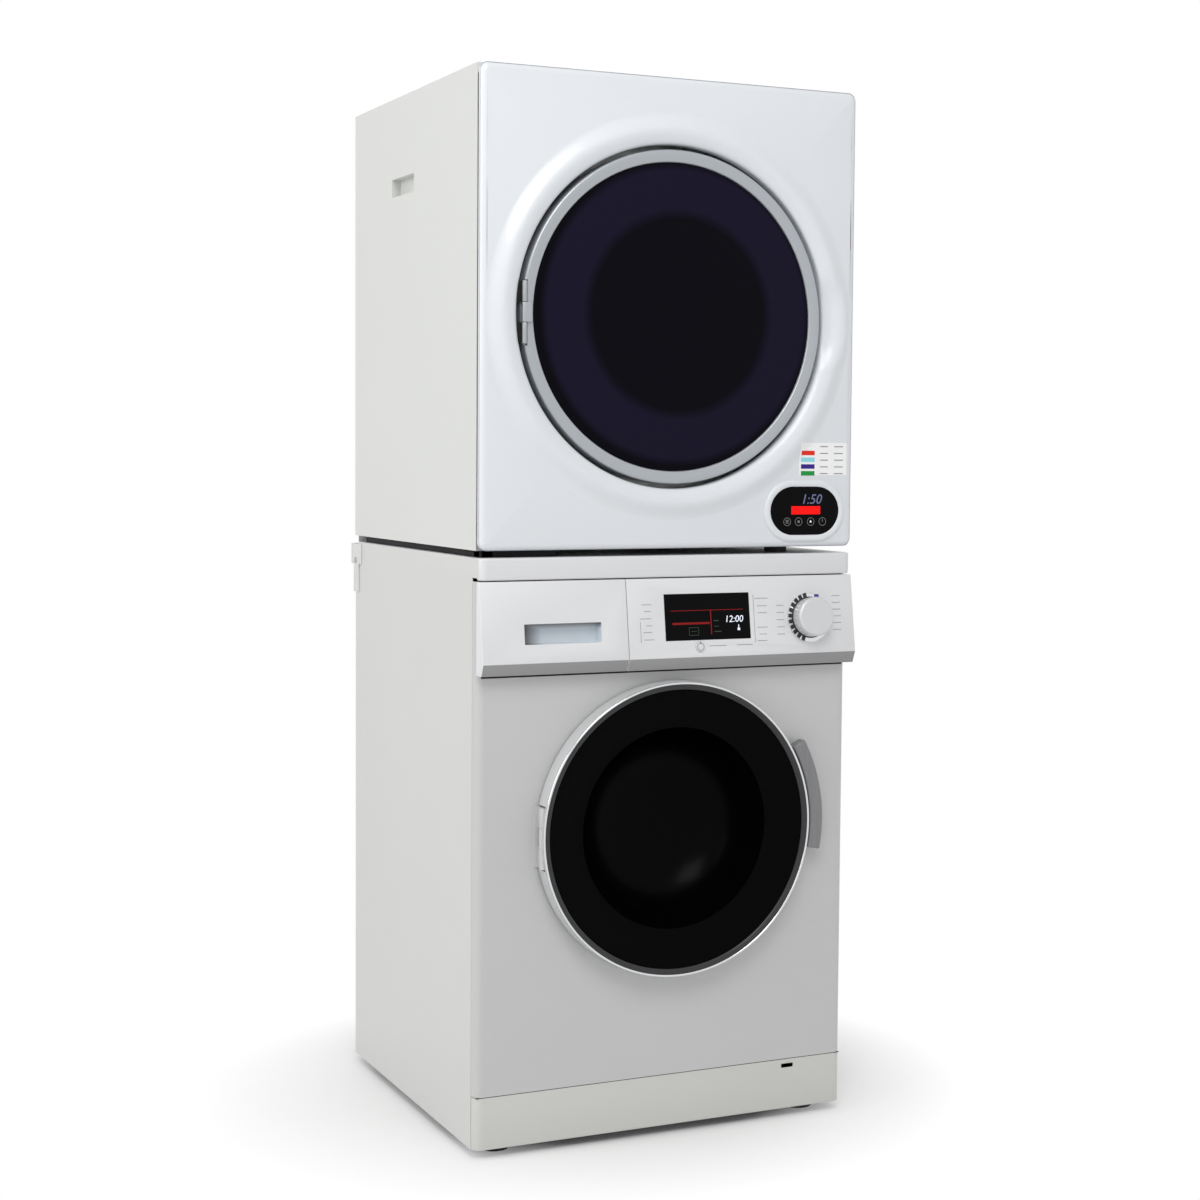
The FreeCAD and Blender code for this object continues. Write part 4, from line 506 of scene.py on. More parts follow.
def lettering(words, size, centre, facing, slant=0.0, thick=0.0001):
    """Flat characters standing on a face, made a mesh before they are put in place."""
    bpy.ops.object.select_all(action="DESELECT")
    bpy.ops.object.text_add()
    piece = bpy.context.object
    text = piece.data
    text.body, text.size, text.shear, text.extrude = words, size, slant, thick
    text.align_x, text.align_y, text.resolution_u = "CENTER", "CENTER", 3
    bpy.ops.object.convert(target="MESH")
    piece = bpy.context.object
    piece.rotation_euler.x = math.radians(90) - facing
    piece.location = centre
    bpy.ops.object.transform_apply(location=True, rotation=True, scale=True)
    return piece


white_light = lit("white_digits", (0.85, 0.9, 1.0), 0.75)
dim_red = lit("dim_red_lamp", (0.30, 0.012, 0.012), 0.35)
green_grey = lit("dim_green_lamp", (0.045, 0.075, 0.045), 0.3)
clock = lettering("12:00", 0.0138, on_fascia(0.096, 0.757, glass_out), lean, 0.15)
dress(clock, "display_clock", white_light, "housing", slot="display_black")
key = joined([tile(on_fascia(0.1035, 0.7425, glass_out), 0.0040, 0.0034, 0.0002, lean),
              tile(on_fascia(0.1035, 0.7465, glass_out), 0.0012, 0.0052, 0.0002, lean)])
dress(key, "display_door_sign", white_light, "housing", slot="display_black")
frames = [tile(on_fascia(x, z, glass_out), wide, tall, 0.0002, lean)
          for x, z, wide, tall in ((0.053, 0.771, 0.118, 0.0009), (0.026, 0.7525, 0.060, 0.0030),
                                   (0.0585, 0.754, 0.0016, 0.036))]
dress(joined(frames), "display_red_frames", dim_red, "housing", slot="display_black")
symbols = [tile(on_fascia(x, z, glass_out), wide, tall, 0.0002, lean)
           for x, z, wide, tall in (
               (0.030, 0.7465, 0.016, 0.0008), (0.030, 0.7355, 0.016, 0.0008),
               (0.0224, 0.741, 0.0008, 0.0118), (0.0376, 0.741, 0.0008, 0.0118),
               (0.030, 0.741, 0.0095, 0.0008), (0.067, 0.7555, 0.008, 0.0016),
               (0.067, 0.7475, 0.008, 0.0010), (0.069, 0.7400, 0.012, 0.0014))]
dress(joined(symbols), "display_dim_symbols", green_grey, "housing", slot="display_black")


# ---------------------------------------------------------------- start button
# A small round key in the panel under the display.  A ring and a short stroke on its face make
# the power mark, which moves with the key.
def hoop(major, minor, segments, sides, place, facing=0.0):
    """A thin ring lying on a face."""
    bpy.ops.object.select_all(action="DESELECT")
    bpy.ops.mesh.primitive_torus_add(major_radius=major, minor_radius=minor,
                                     major_segments=segments, minor_segments=sides,
                                     location=place,
                                     rotation=(math.radians(90) - facing, 0, 0))
    return bpy.context.object


paint(moulded, "start_button")
start_low, start_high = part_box("start_button")
start_mid = (start_low + start_high) / 2
start_face = on_fascia(start_mid.x, start_mid.z, 0.0028)
mark = joined([hoop(0.0052, 0.0004, 48, 8, start_face, lean),
               tile(start_face + uphill * 0.0058, 0.0011, 0.0034, 0.0009, lean)])
dress(settle(mark), "start_mark", grey_ink, "start_button", slot="dark_trim")

# ---------------------------------------------------------------- programme knob
# A satin cap stands out of a plated ring.  Black bars round the ring's left half and one
# violet pointer mark the programmes, and a black ring round the cap's foot is painted shade of
# the gap there.
plating = Finish("bright_plating", (0.70, 0.71, 0.72), 0.14, metallic=1.0).worn(0.06, 500, 0.01)
satin_cap = Finish("satin_knob_cap", (0.66, 0.665, 0.675), 0.3, metallic=0.25).worn(0.1, 1500, 0.03)
paint(plating, "knob_ring")
paint(satin_cap, "program_knob")
knob_low, knob_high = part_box("knob_ring")
knob_x, knob_z = (knob_low.x + knob_high.x) / 2, 0.756
scale_proud, scale_radius = 0.0042, 0.0334
bars = []
for angle in [102 + 14.5 * step for step in range(11)]:
    bar = tile((0, 0, 0), 0.0068, 0.0058, 0.0010, 0, 0.0003)
    turn = math.radians(angle)
    across = Vector((math.cos(turn), 0, 0)) + uphill * math.sin(turn)
    along = Vector((-math.sin(turn), 0, 0)) + uphill * math.cos(turn)
    seat = on_fascia(knob_x, knob_z, scale_proud) + across * scale_radius
    bar.matrix_world = Matrix(((across.x, -outward.x, along.x, seat.x),
                               (across.y, -outward.y, along.y, seat.y),
                               (across.z, -outward.z, along.z, seat.z), (0, 0, 0, 1)))
    bars.append(bar)
black_ink = Finish("black_print", (0.012, 0.012, 0.014), 0.35).worn(0.08, 1500, 0.02)
dress(settle(joined(bars)), "knob_scale_bars", black_ink, "housing", slot="dark_trim")
cap_low, cap_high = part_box("program_knob")
# A black ring round the cap's foot, as painted shade of the gap.
gap_shade_ring = hoop((cap_high.x - cap_low.x) / 2 + 0.0006, 0.0012, 72, 8,
                 on_fascia(knob_x, knob_z, scale_proud), lean)
dress(settle(gap_shade_ring), "knob_gap_shade_ring", black_ink, "housing", slot="dark_trim")
violet_ink = Finish("violet_print", (0.05, 0.025, 0.28), 0.4).worn(0.08, 1500, 0.02)
point = on_fascia(knob_x, knob_z, 0.0043) + Vector((0.0128, 0, 0)) + uphill * 0.0308
dress(settle(tile(point, 0.0072, 0.0062, 0.001, lean, 0.0003)), "knob_pointer_mark", violet_ink,
      "housing", slot="dark_trim")

# ---------------------------------------------------------------- detergent drawer
# The drawer's front carries on the panel's lines, with a finger pocket pressed into it.  The
# pocket is painted with shadow to its left and under its top edge, and the front's downward
# faces take the panel's painted shade.  Its edges are rolled a little less than the panel's.
drawer = dress(rolled("drawer_front", 0.0009), "drawer_fascia", moulded, "drawer", "drawer_front",
               slot="white_plastic")
# The pocket's moulding takes painted shadow: dark towards its left wall and under its top edge.
pocket = Finish("pocket_painted_shadow", (0.70, 0.76, 0.82), 0.4)
inside = shaded(drawer, pocket, lambda face: face.normal.y < 0.5 and 0.71 < face.center.z < 0.79
                and -0.28 < face.center.x < -0.09
                and face.center.y > on_fascia(0, face.center.z).y + 0.0012)
# The drawer front's downward faces take the same painted shade.
shaded(drawer, chamfer_painted_shade, lambda face: faces_down(face) and face.material_index == 0)
aside, _, rise = pocket.axes()
west, crown = min(spot.x for spot in inside), max(spot.z for spot in inside)
lit_part = pocket.maths("MINIMUM", pocket.step(aside, west + 0.011, west + 0.036),
                        pocket.step(crown - rise, 0.003, 0.011))
pocket.feed("Base Color", pocket.blend(lit_part, (0.14, 0.145, 0.155, 1), pocket.colour))
pocket.bump(pocket.noise(900), 0.03)


# ---------------------------------------------------------------- washer door
# A deep pale ring carries the door.  On its face lie a bright plated edge, a dark bevel and a
# black glossy cover that falls in to a smoked glass bowl.
def lathe(centre, stations, sides=160):
    """Turn a profile about a line along Y, by extruding a circle from station to station.
    A station is a radius and a place along Y from the centre, in millimetres.  A last
    radius of zero closes the end."""
    radius, along = stations[0]
    bpy.ops.object.select_all(action="DESELECT")
    bpy.ops.mesh.primitive_circle_add(
        vertices=sides, radius=radius / 1000, rotation=(math.radians(90), 0, 0),
        location=Vector(centre) + Vector((0, along / 1000, 0)))
    piece = bpy.context.object
    bpy.ops.object.transform_apply(location=True, rotation=True, scale=True)
    bpy.ops.object.mode_set(mode="EDIT")
    bpy.ops.mesh.select_all(action="SELECT")
    for next_radius, next_along in stations[1:]:
        bpy.ops.mesh.extrude_edges_move(
            TRANSFORM_OT_translate={"value": (0, (next_along - along) / 1000, 0)})
        if next_radius == 0:
            bpy.ops.mesh.merge(type="CENTER")
            break
        grow = next_radius / radius
        bpy.ops.transform.resize(value=(grow, 1, grow), center_override=tuple(centre))
        radius, along = next_radius, next_along
    bpy.ops.object.mode_set(mode="OBJECT")
    return piece


def corner(centre_r, centre_y, radius, start, end, steps=6):
    """Stations round a corner.  Zero degrees points outwards and ninety to the front."""
    angles = [math.radians(start + (end - start) * step / steps) for step in range(steps + 1)]
    return [(centre_r + radius * math.cos(a), centre_y - radius * math.sin(a)) for a in angles]


def middle(node):
    low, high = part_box(node)
    return (low + high) / 2


glass = middle("washer_door_glass")
washer_spot = Vector((glass.x, panel_y, glass.z))
shell_paint = Finish("door_shell_paint", (0.60, 0.61, 0.615), 0.4).worn(0.1, 700, 0.04)
paint(shell_paint, "washer_door_frame")
bright = lathe(washer_spot, [(211, -28)] + corner(212.6, -30.4, 1.8, 180, 0, 8)
               + [(214.4, -28), (211, -28)])
dress(settle(bright), "washer_door_bright_edge", plating, "washer_door", slot="chrome_trim")
dark_rim = Finish("dark_rim_paint", (0.034, 0.034, 0.036), 0.36, specular_ior_level=0.3)
dark_rim.worn(0.1)
rim = lathe(washer_spot, [(203, -26.5), (203.3, -28.4), (205, -30), (207.5, -30.9), (211.2, -31.2),
                          (211.2, -26.5), (203, -26.5)])
dress(settle(rim), "washer_door_dark_bevel", dark_rim, "washer_door", "washer_door_trim",
      slot="dark_trim")
cover = Finish("black_door_cover", (0.0012, 0.0012, 0.0012), 0.14, specular_ior_level=0.03)
cover.feed("Roughness", cover.noise(9, 4) * 0.1 + 0.1)
funnel = lathe(washer_spot, [(203.2, -27), (202, -28), (199, -27.6), (190, -25.6), (176, -21.8),
                             (163, -18.2), (153, -16.2), (147, -16), (147, -13.4), (203.2, -23),
                             (203.2, -27)])
dress(settle(funnel), "washer_door_funnel", cover, "washer_door", "washer_door_glass",
      slot="black_glass")
smoke = Finish("smoked_glass", (0.001, 0.001, 0.001), 0.06, specular_ior_level=0.035)
smoke.feed("Roughness", smoke.noise(6, 3) * 0.08 + 0.22)
bowl = joined([lathe(washer_spot, [(147, -16), (146, -10), (143, 0), (137, 22), (128, 42),
                                   (116, 58), (101, 70), (83, 79), (62, 85), (38, 88.6),
                                   (14, 90), (0, 90.2)]),
               lathe(washer_spot, [(147, -16), (152, -11), (152, -6), (147.6, -3), (142, 20),
                                   (134, 50), (125, 74), (118, 85), (104, 92), (80, 94.2),
                                   (30, 95), (10, 95), (0, 95)])])
dress(settle(bowl), "washer_door_bowl_glass", smoke, "washer_door", "washer_door_bowl",
      slot="bowl_glass")

# ---------------------------------------------------------------- door handle, hinge and lock
# A grey curved grip pivots beside the ring and works a steel hook.  A black lock holds the
# other end.
grip = Finish("handle_grey", (0.225, 0.225, 0.235), 0.42, metallic=0.15)
streak = grip.node("ShaderNodeMapping", None, grip.spot(), Scale=(400, 400, 8))
grip.feed("Base Color", grip.blend(grip.noise(1, 2, streak), (0.19, 0.19, 0.2, 1),
                                   (0.25, 0.25, 0.26, 1)))
grip.bump(grip.noise(700, 2), 0.04)
dress(rolled("washer_door_handle", 0.0022, 4), "washer_door_grip", grip, "washer_handle",
      "washer_door_handle", slot="handle_grey")
steel = Finish("plain_steel", (0.5, 0.5, 0.51), 0.32, metallic=0.95).worn(0.15, 300, 0.03, 0.85)
paint(steel, "latch_hook", "bracket_screws", "tub_springs", "damper_rods", "drum_bearings",
      "motor_pulley")
lock_black = Finish("lock_black", (0.02, 0.02, 0.021), 0.45).worn(0.1, 600, 0.05)
paint(lock_black, "door_lock")

# ---------------------------------------------------------------- dryer front
# One pressed steel sheet.  Its flat face swells into a rounded bead about the door and drops
# into the well that the door shuts in, and a hollow on the right lets fingers in.
dryer_paint = Finish("dryer_front_enamel", (0.765, 0.79, 0.82), 0.33, coat_weight=0.3).worn(0.1)
door_mid = middle("dryer_door_window")
front_low, front_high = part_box("dryer_front_panel")
face_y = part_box("touch_panel")[1].y
dryer_spot = Vector((0, face_y, door_mid.z))
swell = [(245, 14), (245, 3), (245.4, 0.6), (246.6, -1.6), (249, -3.6), (252.5, -5.4),
         (256.5, -7), (260.5, -8.2), (264.5, -8.8), (268, -8.5), (271.5, -7.5), (275, -6.1),
         (278.5, -4.4), (282, -2.8), (285.5, -1.4), (288.5, -0.5), (291, 0)]
bead = lathe(dryer_spot, swell, 192)
sheet = slab((front_low.x, face_y, front_low.z),
             (front_high.x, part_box("dryer_cabinet")[0].y - 0.001, front_high.z),
             0.012, 0.009, upright=1)


def pick(piece, kind, parts, wanted):
    """Select the faces or edges of a piece that pass a test, and stay in edit mode."""
    alone(piece)
    bpy.ops.object.mode_set(mode="EDIT")
    bpy.ops.mesh.select_mode(type=kind)
    bpy.ops.mesh.select_all(action="DESELECT")
    bpy.ops.object.mode_set(mode="OBJECT")
    for part in parts:
        part.select = wanted(part)
    bpy.ops.object.mode_set(mode="EDIT")


pick(sheet, "FACE", sheet.data.polygons,
     lambda face: abs(face.normal.y) > 0.99 and face.area > 0.1)
bpy.ops.mesh.delete(type="FACE")
bpy.ops.object.mode_set(mode="OBJECT")
front = joined([sheet, bead])
uses = {}
for face in front.data.polygons:
    for pair in face.edge_keys:
        uses[pair] = uses.get(pair, 0) + 1
points = front.data.vertices
pick(front, "EDGE", front.data.edges, lambda line: uses.get(line.key) == 1 and all(
    abs(points[v].co.y - face_y) < 1e-5 for v in line.vertices))
bpy.ops.mesh.fill(use_beauty=True)
bpy.ops.object.mode_set(mode="OBJECT")
grip_half, grip_depth, grip_push = 0.062, 0.0085, 0.006
for vertex in front.data.vertices:
    aside, rise = vertex.co.x, vertex.co.z - dryer_spot.z
    reach = math.hypot(aside, rise)
    if aside > 0 and 0.244 < reach < 0.296:
        near = max(0.0, 1 - (abs(rise) / grip_half) ** 4)
        dip = near * max(0.0, 1 - abs(reach - 0.252) / 0.026)
        vertex.co.y += grip_depth * dip
        vertex.co.x += grip_push * near * max(0.0, 1 - abs(reach - 0.270) / 0.03)
dress(settle(front), "dryer_pressed_front", dryer_paint, "housing", "dryer_front_panel",
      slot="white_enamel")

# ---------------------------------------------------------------- dryer hinge
# Two silver knuckles stand in the left of the door's well and fill the notch in its ring.
# Black leaves behind them reach sideways into the well's rounded edge.
silver = Finish("silver_paint", (0.42, 0.445, 0.47), 0.34, metallic=0.5).worn(0.12, 1400, 0.05)
knuckle_x, knuckle_y = dryer_spot.x - 0.234, face_y - 0.003
knuckles, leaves = [], []
for side in (-1, 1):
    mid_z = dryer_spot.z + side * 0.0289
    bpy.ops.object.select_all(action="DESELECT")
    bpy.ops.mesh.primitive_cylinder_add(vertices=40, radius=0.0037, depth=0.0292,
                                        location=(knuckle_x, knuckle_y, mid_z))
    barrel = bpy.context.object
    bpy.ops.object.transform_apply(location=True, rotation=True, scale=True)
    bpy.ops.object.mode_set(mode="EDIT")
    bpy.ops.mesh.select_all(action="SELECT")
    bpy.ops.mesh.select_mode(type="EDGE")
    bpy.ops.mesh.edges_select_sharp(sharpness=math.radians(60))
    bpy.ops.mesh.bevel(offset=0.0008, segments=3, affect="EDGES")
    bpy.ops.object.mode_set(mode="OBJECT")
    knuckles.append(barrel)
    leaves.append(slab((dryer_spot.x - 0.2462, knuckle_y + 0.0012, mid_z - 0.0146),
                       (knuckle_x - 0.002, knuckle_y + 0.0048, mid_z + 0.0146), 0.0008, 0.0006))
dress(settle(joined(knuckles)), "dryer_hinge_knuckles", silver, "housing",
      "dryer_front_panel", slot="silver_ring")
dress(settle(joined(leaves)), "dryer_hinge_leaves", black_and_gap_shade, "housing", "dryer_front_panel",
      slot="dark_trim")

# ---------------------------------------------------------------- dryer touch panel
# A black glass oval in a raised white bezel.  Pale blue digits give the time, with a lit red
# bar and four round keys under them.
panel_low, panel_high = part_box("touch_panel")
panel_mid = (panel_low + panel_high) / 2
panel_wide, panel_tall = panel_high.x - panel_low.x, panel_high.z - panel_low.z


def stadium(stations, steps=24):
    """An oval about the touch panel, drawn as a half-round at each end, then extruded along
    Y and widened from station to station.  A station is a growth and a place along Y."""
    half = panel_tall / 2 + stations[0][0]
    offset = (panel_wide - panel_tall) / 2
    bpy.ops.object.select_all(action="DESELECT")
    bpy.ops.mesh.primitive_circle_add(vertices=steps * 4, radius=half,
                                      rotation=(math.radians(90), 0, 0),
                                      location=(panel_mid.x, stations[0][1], panel_mid.z))
    piece = bpy.context.object
    bpy.ops.object.transform_apply(location=True, rotation=True, scale=True)
    for vertex in piece.data.vertices:
        side = vertex.co.x - panel_mid.x
        if abs(side) > 1e-6:
            vertex.co.x += math.copysign(offset, side)
    bpy.ops.object.mode_set(mode="EDIT")
    bpy.ops.mesh.select_all(action="SELECT")
    wide, tall, along = half + offset, half, stations[0][1]
    for growth, place in stations[1:]:
        bpy.ops.mesh.extrude_edges_move(
            TRANSFORM_OT_translate={"value": (0, place - along, 0)})
        new_tall = max(panel_tall / 2 + growth, 0.0001)
        new_wide = new_tall + offset
        bpy.ops.transform.resize(value=(new_wide / wide, 1, new_tall / tall),
                                 center_override=tuple(panel_mid))
        wide, tall, along = new_wide, new_tall, place
    bpy.ops.object.mode_set(mode="OBJECT")
    return piece


bezel = stadium([(0.0102, face_y + 0.0002), (0.0102, face_y - 0.0008), (0.0096, face_y - 0.0022),
                 (0.0082, face_y - 0.0034), (0.0062, face_y - 0.0040), (0.0040, face_y - 0.0040),
                 (0.0018, face_y - 0.0036), (0.0004, face_y - 0.0026), (0.0002, face_y - 0.0016),
                 (0.0002, face_y + 0.0002), (0.0102, face_y + 0.0002)])
dress(settle(bezel), "touch_panel_bezel", dryer_paint, "housing", "dryer_front_panel",
      slot="white_enamel")
oval_front = panel_low.y
oval = stadium([(0, face_y), (0, oval_front + 0.0006), (-0.0002, oval_front + 0.0002),
                (-0.0008, oval_front)])
alone(oval)
bpy.ops.object.mode_set(mode="EDIT")
bpy.ops.mesh.select_all(action="SELECT")
bpy.ops.mesh.region_to_loop()
bpy.ops.mesh.edge_face_add()
bpy.ops.object.mode_set(mode="OBJECT")
dress(settle(oval), "touch_panel_glass", acrylic, "housing", "touch_panel", slot="display_black")

sign_y = oval_front - 0.00008
digits = lettering("1:50", 0.0205, (panel_mid.x + 0.010, sign_y, panel_mid.z + 0.0165), 0, 0.25)
pale_blue = lit("pale_blue_digits", (0.19, 0.22, 0.38), 0.34)
dress(digits, "touch_panel_time", pale_blue, "housing", slot="display_black")
bright_red = lit("bright_red_lamp", (0.95, 0.006, 0.005), 0.8)
bar = tile((panel_mid.x + 0.0015, sign_y, panel_mid.z + 0.0008), 0.049, 0.012, 0.0006, 0,
           0.00025)
dress(settle(bar), "touch_panel_red_bar", bright_red, "housing", slot="display_black")
key_grey = lit("grey_key_print", (0.24, 0.24, 0.24), 0.4)
keys = []
for number, aside in enumerate((-0.030, -0.0105, 0.010, 0.030)):
    where = Vector((panel_mid.x + aside, sign_y, panel_mid.z - 0.0160))
    keys.append(hoop(0.0058, 0.00035, 40, 6, where))
    if number == 0:
        keys += [tile(where + Vector((0, 0, z)), 0.0050, 0.0009, 0.0002, 0)
                 for z in (-0.0018, 0.0002, 0.0022)]
    elif number == 1:
        keys.append(tile(where, 0.0034, 0.0034, 0.0002, 0))
    elif number == 3:
        keys.append(tile(where + Vector((0, 0, 0.0016)), 0.0009, 0.0040, 0.0002, 0))
dress(settle(joined(keys)), "touch_panel_keys", key_grey, "housing", slot="display_black")
bpy.ops.object.select_all(action="DESELECT")
bpy.ops.mesh.primitive_cone_add(vertices=3, radius1=0.0030, radius2=0.0, depth=0.0003,
                                location=(panel_mid.x + 0.010, sign_y, panel_mid.z - 0.0160),
                                rotation=(math.radians(90), 0, 0))
dress(settle(bpy.context.object), "touch_panel_play_sign", white_light, "housing",
      slot="display_black")

# ---------------------------------------------------------------- colour key
# A white vinyl sticker over the touch panel, bent on to the swell of the front.  It has four
# coloured bars, and short plain lines where a legend would stand.
vinyl = Finish("white_vinyl", (0.93, 0.93, 0.935), 0.45).worn(0.08, 1200, 0.02)
label_mid = Vector((0.2475, face_y - 0.00015, panel_mid.z + 0.0765))


def laid(piece, cuts):
    """Bend a flat piece down on to the swell of the dryer's front."""
    alone(piece)
    bpy.ops.object.mode_set(mode="EDIT")
    bpy.ops.mesh.select_all(action="SELECT")
    bpy.ops.mesh.subdivide(number_cuts=cuts)
    bpy.ops.object.mode_set(mode="OBJECT")
    for vertex in piece.data.vertices:
        reach = 1000 * math.hypot(vertex.co.x - dryer_spot.x, vertex.co.z - dryer_spot.z)
        for (near, crest), (far, foot) in zip(swell[8:], swell[9:]):
            if near <= reach < far:
                vertex.co.y += (crest + (foot - crest) * (reach - near) / (far - near)) / 1000
    return settle(piece)


dress(laid(tile(label_mid, 0.081, 0.048, 0.0003, 0), 30), "colour_key_sticker", vinyl,
      "housing", slot="white_enamel")
for step, (name, colour) in enumerate((("red", (0.80, 0.035, 0.018)), ("cyan", (0.30, 0.72, 0.80)),
                                       ("indigo", (0.045, 0.02, 0.24)),
                                       ("green", (0.02, 0.30, 0.055)))):
    ink = Finish("key_" + name, colour, 0.5, specular_ior_level=0.15).worn(0.06, 1500, 0.02)
    spot = label_mid + Vector((-0.026, -0.0002, 0.0090 - 0.0100 * step))
    dress(laid(tile(spot, 0.0230, 0.0066, 0.0003, 0), 8), "colour_key_" + name, ink, "housing",
          slot="dark_trim")
rows = [laid(tile(label_mid + Vector((aside, -0.0002, 0.0185 - 0.0100 * row)), length, 0.0013,
                  0.0003, 0), 3)
        for row in range(5) for aside, length in ((0.0015, 0.013), (0.0265, 0.015))]
dress(joined(rows), "colour_key_index_lines", grey_ink, "housing", slot="dark_trim")

# ---------------------------------------------------------------- dryer door
# A silver painted ring holds a smoked violet window.  The window's colour is painted darker in
# a round a little off centre, as painted shade of the deep cup moulded behind it, and darker
# again towards its rim.
ring = lathe(dryer_spot, [(219.8, 4), (219.8, 1.6)] + corner(222.6, 1.2, 2.6, 180, 90, 5)
             + [(226.5, -1.9), (229, -2.5), (233, -2.5)] + corner(234.6, 0.9, 3.4, 85, 0, 6)
             + [(238, 24), (197, 24), (197, 20), (219.8, 20), (219.8, 4)])
notch = slab((dryer_spot.x - 0.2462, face_y - 0.0151, dryer_spot.z - 0.0462),
             (dryer_spot.x - 0.2294, face_y + 0.0035, dryer_spot.z + 0.0450), 0.001, 0.0005)
carve(settle(ring), notch)
finger = slab((knuckle_x - 0.0037, knuckle_y - 0.0037, dryer_spot.z - 0.0137),
              (knuckle_x + 0.012, knuckle_y + 0.0048, dryer_spot.z + 0.0137), 0.0034, 0.0007)
dress(settle(joined([ring, finger])), "dryer_door_silver_ring", silver, "dryer_door",
      "dryer_door_ring", slot="silver_ring")

violet = Finish("violet_glass", (0.008, 0.007, 0.017), 0.1, specular_ior_level=0.04)
aside, _, rise = violet.axes()
offset = Vector((0.006, 0, 0.004))
across, height = aside - dryer_spot.x - offset.x, rise - dryer_spot.z - offset.z
out = (across * across + height * height) ** 0.5
# Painted shade: darker in a round where the deep cup lies behind, and darker again towards the rim.
cup = violet.step(out, 0.136, 0.152)
tone = violet.blend(cup, (0.0028, 0.0024, 0.005, 1), (0.0095, 0.0075, 0.0215, 1))
edge = violet.step(out, 0.205, 0.216)
violet.feed("Base Color", violet.blend(edge, tone, (0.0022, 0.002, 0.0042, 1)))
violet.feed("Roughness", violet.noise(5, 4) * 0.06 + 0.07)
dome = [(219.4, 4)] + [(219.4 * k / 14, -2.6 * (1 - (k / 14) ** 2.2) + 1.4 * (k / 14) ** 6)
                       for k in range(14, 0, -1)] + [(0, -2.6)]
window = joined([lathe(dryer_spot, dome), lathe(dryer_spot, [(219.4, 4), (60, 4), (0, 4)])])
dress(settle(window), "dryer_door_violet_window", violet, "dryer_door",
      "dryer_door_window", slot="violet_glass")
cup_paint = Finish("cup_plastic", (0.10, 0.10, 0.115), 0.38).worn(0.1, 500, 0.05)
liner = joined([lathe(dryer_spot, [(193.5, 6.6), (196, 6.6), (196, 40), (194, 46), (188, 52),
                                   (180, 56), (172, 57.8), (150, 58), (40, 58), (34, 56.8),
                                   (10, 56.8), (0, 56.8)]),
                lathe(dryer_spot, [(193.5, 6.6), (193.5, 38), (192, 44), (186, 50), (172, 55.3),
                                   (150, 55.4), (10, 54.8), (0, 54.8)])])
dress(settle(liner), "dryer_door_cup", cup_paint, "dryer_door", "dryer_door_liner",
      slot="liner_plastic")


# ---------------------------------------------------------------- drums
# The washer's drum is punched stainless sheet with cast paddles and turns in the plastic tub.
# The dryer's is plain rolled sheet with three folded lifters.
def sheet_steel(name, spot, hole, pitch):
    """Brushed stainless sheet about an axis along Y, with round holes drawn as black dots, whose
    black is painted shade inside the holes.
    """
    finish = Finish(name, (0.56, 0.565, 0.57), 0.3, metallic=1.0)
    x, y, z = finish.axes()
    turned = finish.maths("ARCTAN2", z - spot.z, x - spot.x) * (0.2285 / pitch)
    along = y / pitch
    near_x, near_y = (turned % 1.0) - 0.5, (along % 1.0) - 0.5
    away = (near_x * near_x + near_y * near_y) ** 0.5
    # The holes are drawn black: painted shade inside them.
    punched = finish.step(away, hole, hole + 0.06)
    finish.feed("Base Color", finish.blend(punched, (0.02, 0.02, 0.02, 1), (0.56, 0.565, 0.57, 1)))
    finish.feed("Metallic", punched)
    brushed = finish.node("ShaderNodeMapping", None, finish.spot(), Scale=(60, 900, 60))
    finish.feed("Roughness", finish.noise(1, 3, brushed) * 0.2 + 0.2)
    finish.bump(punched, 0.4)
    return finish


hole, pitch = 0.15, 0.0145
paint(sheet_steel("punched_stainless", middle("washer_drum"), hole, pitch), "washer_drum")
rolled_sheet = Finish("rolled_stainless", (0.56, 0.565, 0.57), 0.3, metallic=1.0)
brush = rolled_sheet.node("ShaderNodeMapping", None, rolled_sheet.spot(), Scale=(60, 900, 60))
rolled_sheet.feed("Roughness", rolled_sheet.noise(1, 3, brush) * 0.22 + 0.18)
rolled_sheet.bump(rolled_sheet.noise(1, 2, brush), 0.05)
paint(rolled_sheet, "dryer_drum")
paddle = Finish("paddle_plastic", (0.32, 0.33, 0.34), 0.4).worn(0.1, 400, 0.05)
paint(paddle, "drum_paddles")

# ---------------------------------------------------------------- door gasket
# A grey rubber bellows joins the front sheet to the floating tub.
rubber_grey = Finish("gasket_rubber", (0.085, 0.087, 0.09), 0.6).worn(0.15, 400, 0.12)
gasket = lathe(washer_spot, [(176.5, 2), (176.5, 5.5), (172, 8), (169, 12), (171, 17), (176, 21),
                             (177, 27), (172, 31), (162, 33), (158, 37), (160, 43), (168, 47),
                             (170.5, 52), (169, 58), (166, 61), (166, 64), (169.5, 64),
                             (173, 58), (174, 51), (170, 44.5), (162.5, 40.5), (161.6, 37),
                             (164, 35.6), (173.5, 34), (180, 29), (180, 20), (175, 14.5),
                             (173.5, 12), (176, 9.5), (179, 8), (179, 2), (176.5, 2)], 128)
settle(gasket).name = "washer_door_bellows"
gasket.data.materials.append(rubber_grey.material)
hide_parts("door_gasket")
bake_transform(gasket)

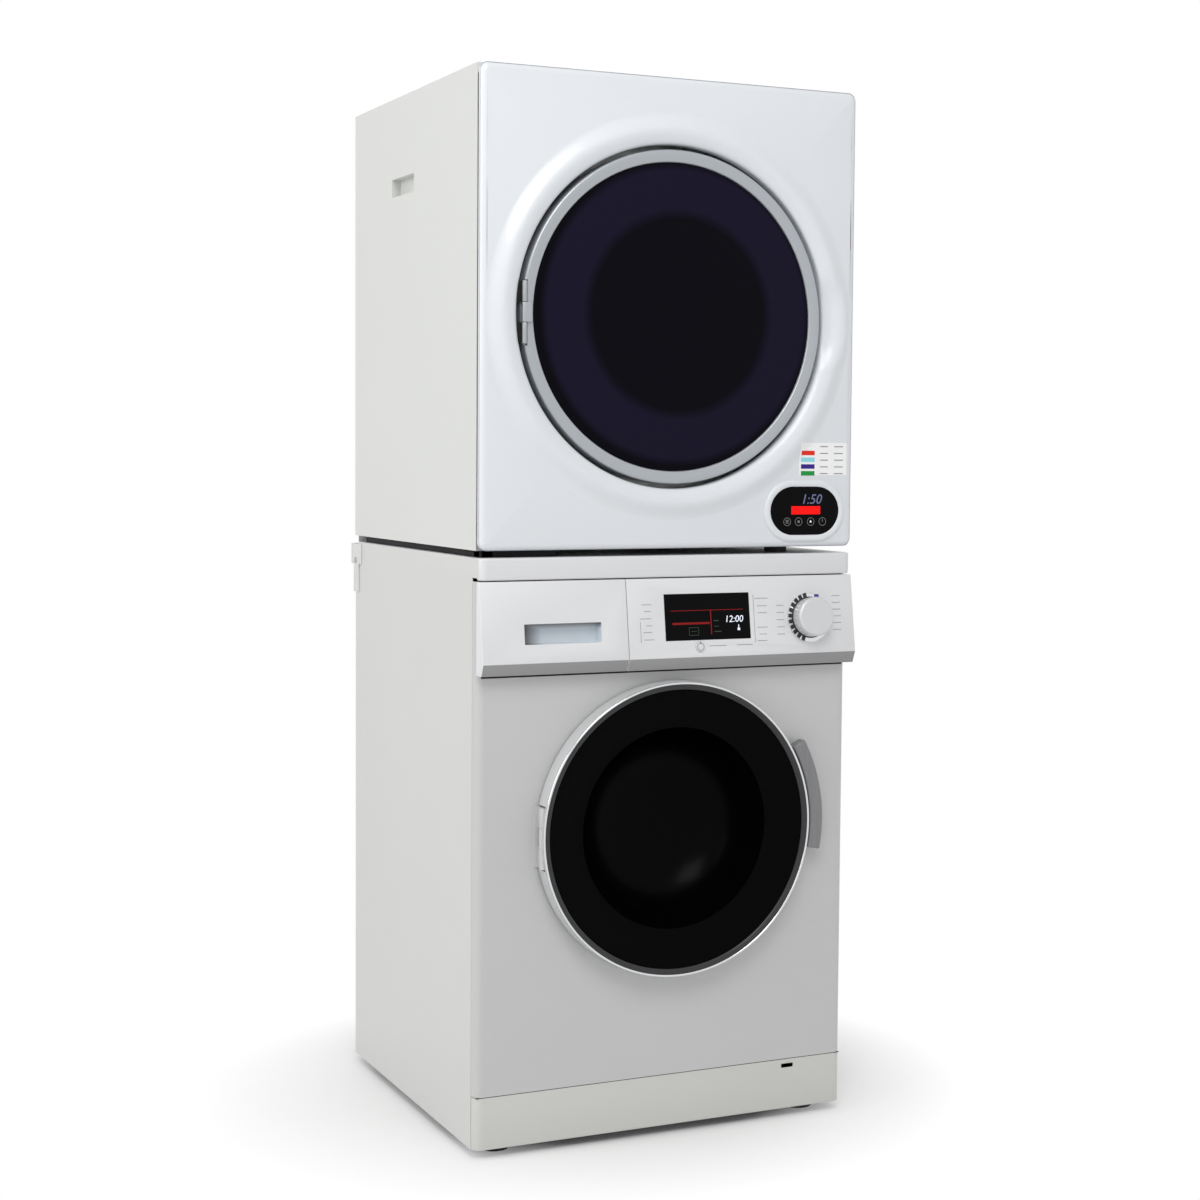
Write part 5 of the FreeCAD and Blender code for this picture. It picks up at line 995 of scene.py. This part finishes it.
# ---------------------------------------------------------------- inner works
# Moulded grey tub, cast iron weights, die-cast spider and pulleys, black motors, rubber belts
# and hoses, and white plastic valves.
tub_grey = Finish("tub_plastic", (0.36, 0.38, 0.41), 0.5).worn(0.1, 250, 0.08)
iron = Finish("cast_iron_weight", (0.07, 0.07, 0.072), 0.7).worn(0.15, 120, 0.3)
cast = Finish("die_cast_alloy", (0.42, 0.43, 0.44), 0.45, metallic=0.9).worn(0.15, 350, 0.12)
motor_black = Finish("motor_lacquer", (0.03, 0.03, 0.032), 0.4, metallic=0.3).worn(0.1, 300, 0.06)
rubber = Finish("black_rubber", (0.025, 0.025, 0.025), 0.7).worn(0.15, 300, 0.12)
paint(tub_grey, "tub_front_half", "tub_rear_half", "drawer_housing")
paint(iron, "counterweights")
paint(cast, "drum_spider", "drum_pulley")
paint(motor_black, "washer_motor", "dryer_motor", "damper_cylinders")
paint(rubber, "washer_belt", "dryer_belt", "sump_hose", "washer_feet", "dryer_feet")
paint(moulded, "inlet_valve", "blower_wheel", "drain_pump")
filter_grey = Finish("filter_plastic", (0.12, 0.125, 0.135), 0.45).worn(0.1, 500, 0.06)
paint(filter_grey, "pump_filter", "lint_filter")

# ---------------------------------------------------------------- stacking kit
# White sheet brackets clasp the worktop's rear corners and screw into both cabinets.  Flat
# black strips lie in the gap between the machines at the left as painted shade of that gap,
# and a black rubber block stands in it at the right.
dress(rolled("stack_brackets", 0.0006, 2), "stacking_brackets", enamel, "housing",
      "stack_brackets", slot="white_enamel")
front_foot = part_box("dryer_feet")
block = slab((0.190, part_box("washer_worktop")[0].y + 0.050, front_foot[0].z),
             (0.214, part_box("washer_worktop")[0].y + 0.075, front_foot[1].z), 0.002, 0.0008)
dress(settle(block), "dryer_front_foot_block", rubber, "housing", slot="foot_rubber")
base_low, base_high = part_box("dryer_cabinet")
# Painted shade: flat black strips fill the gap at the left.
strips = [slab((base_low.x + 0.008, start, front_foot[0].z),
               (base_low.x + wide, end, base_low.z + 0.0006), 0.003, 0.0008)
          for wide, start, end in ((0.030, base_low.y + 0.004, base_high.y - 0.030),
                                   (0.125, base_low.y + 0.004, base_low.y + 0.030))]
dress(settle(joined(strips)), "dryer_gap_shade_strips", black_and_gap_shade, "housing", slot="foot_rubber")
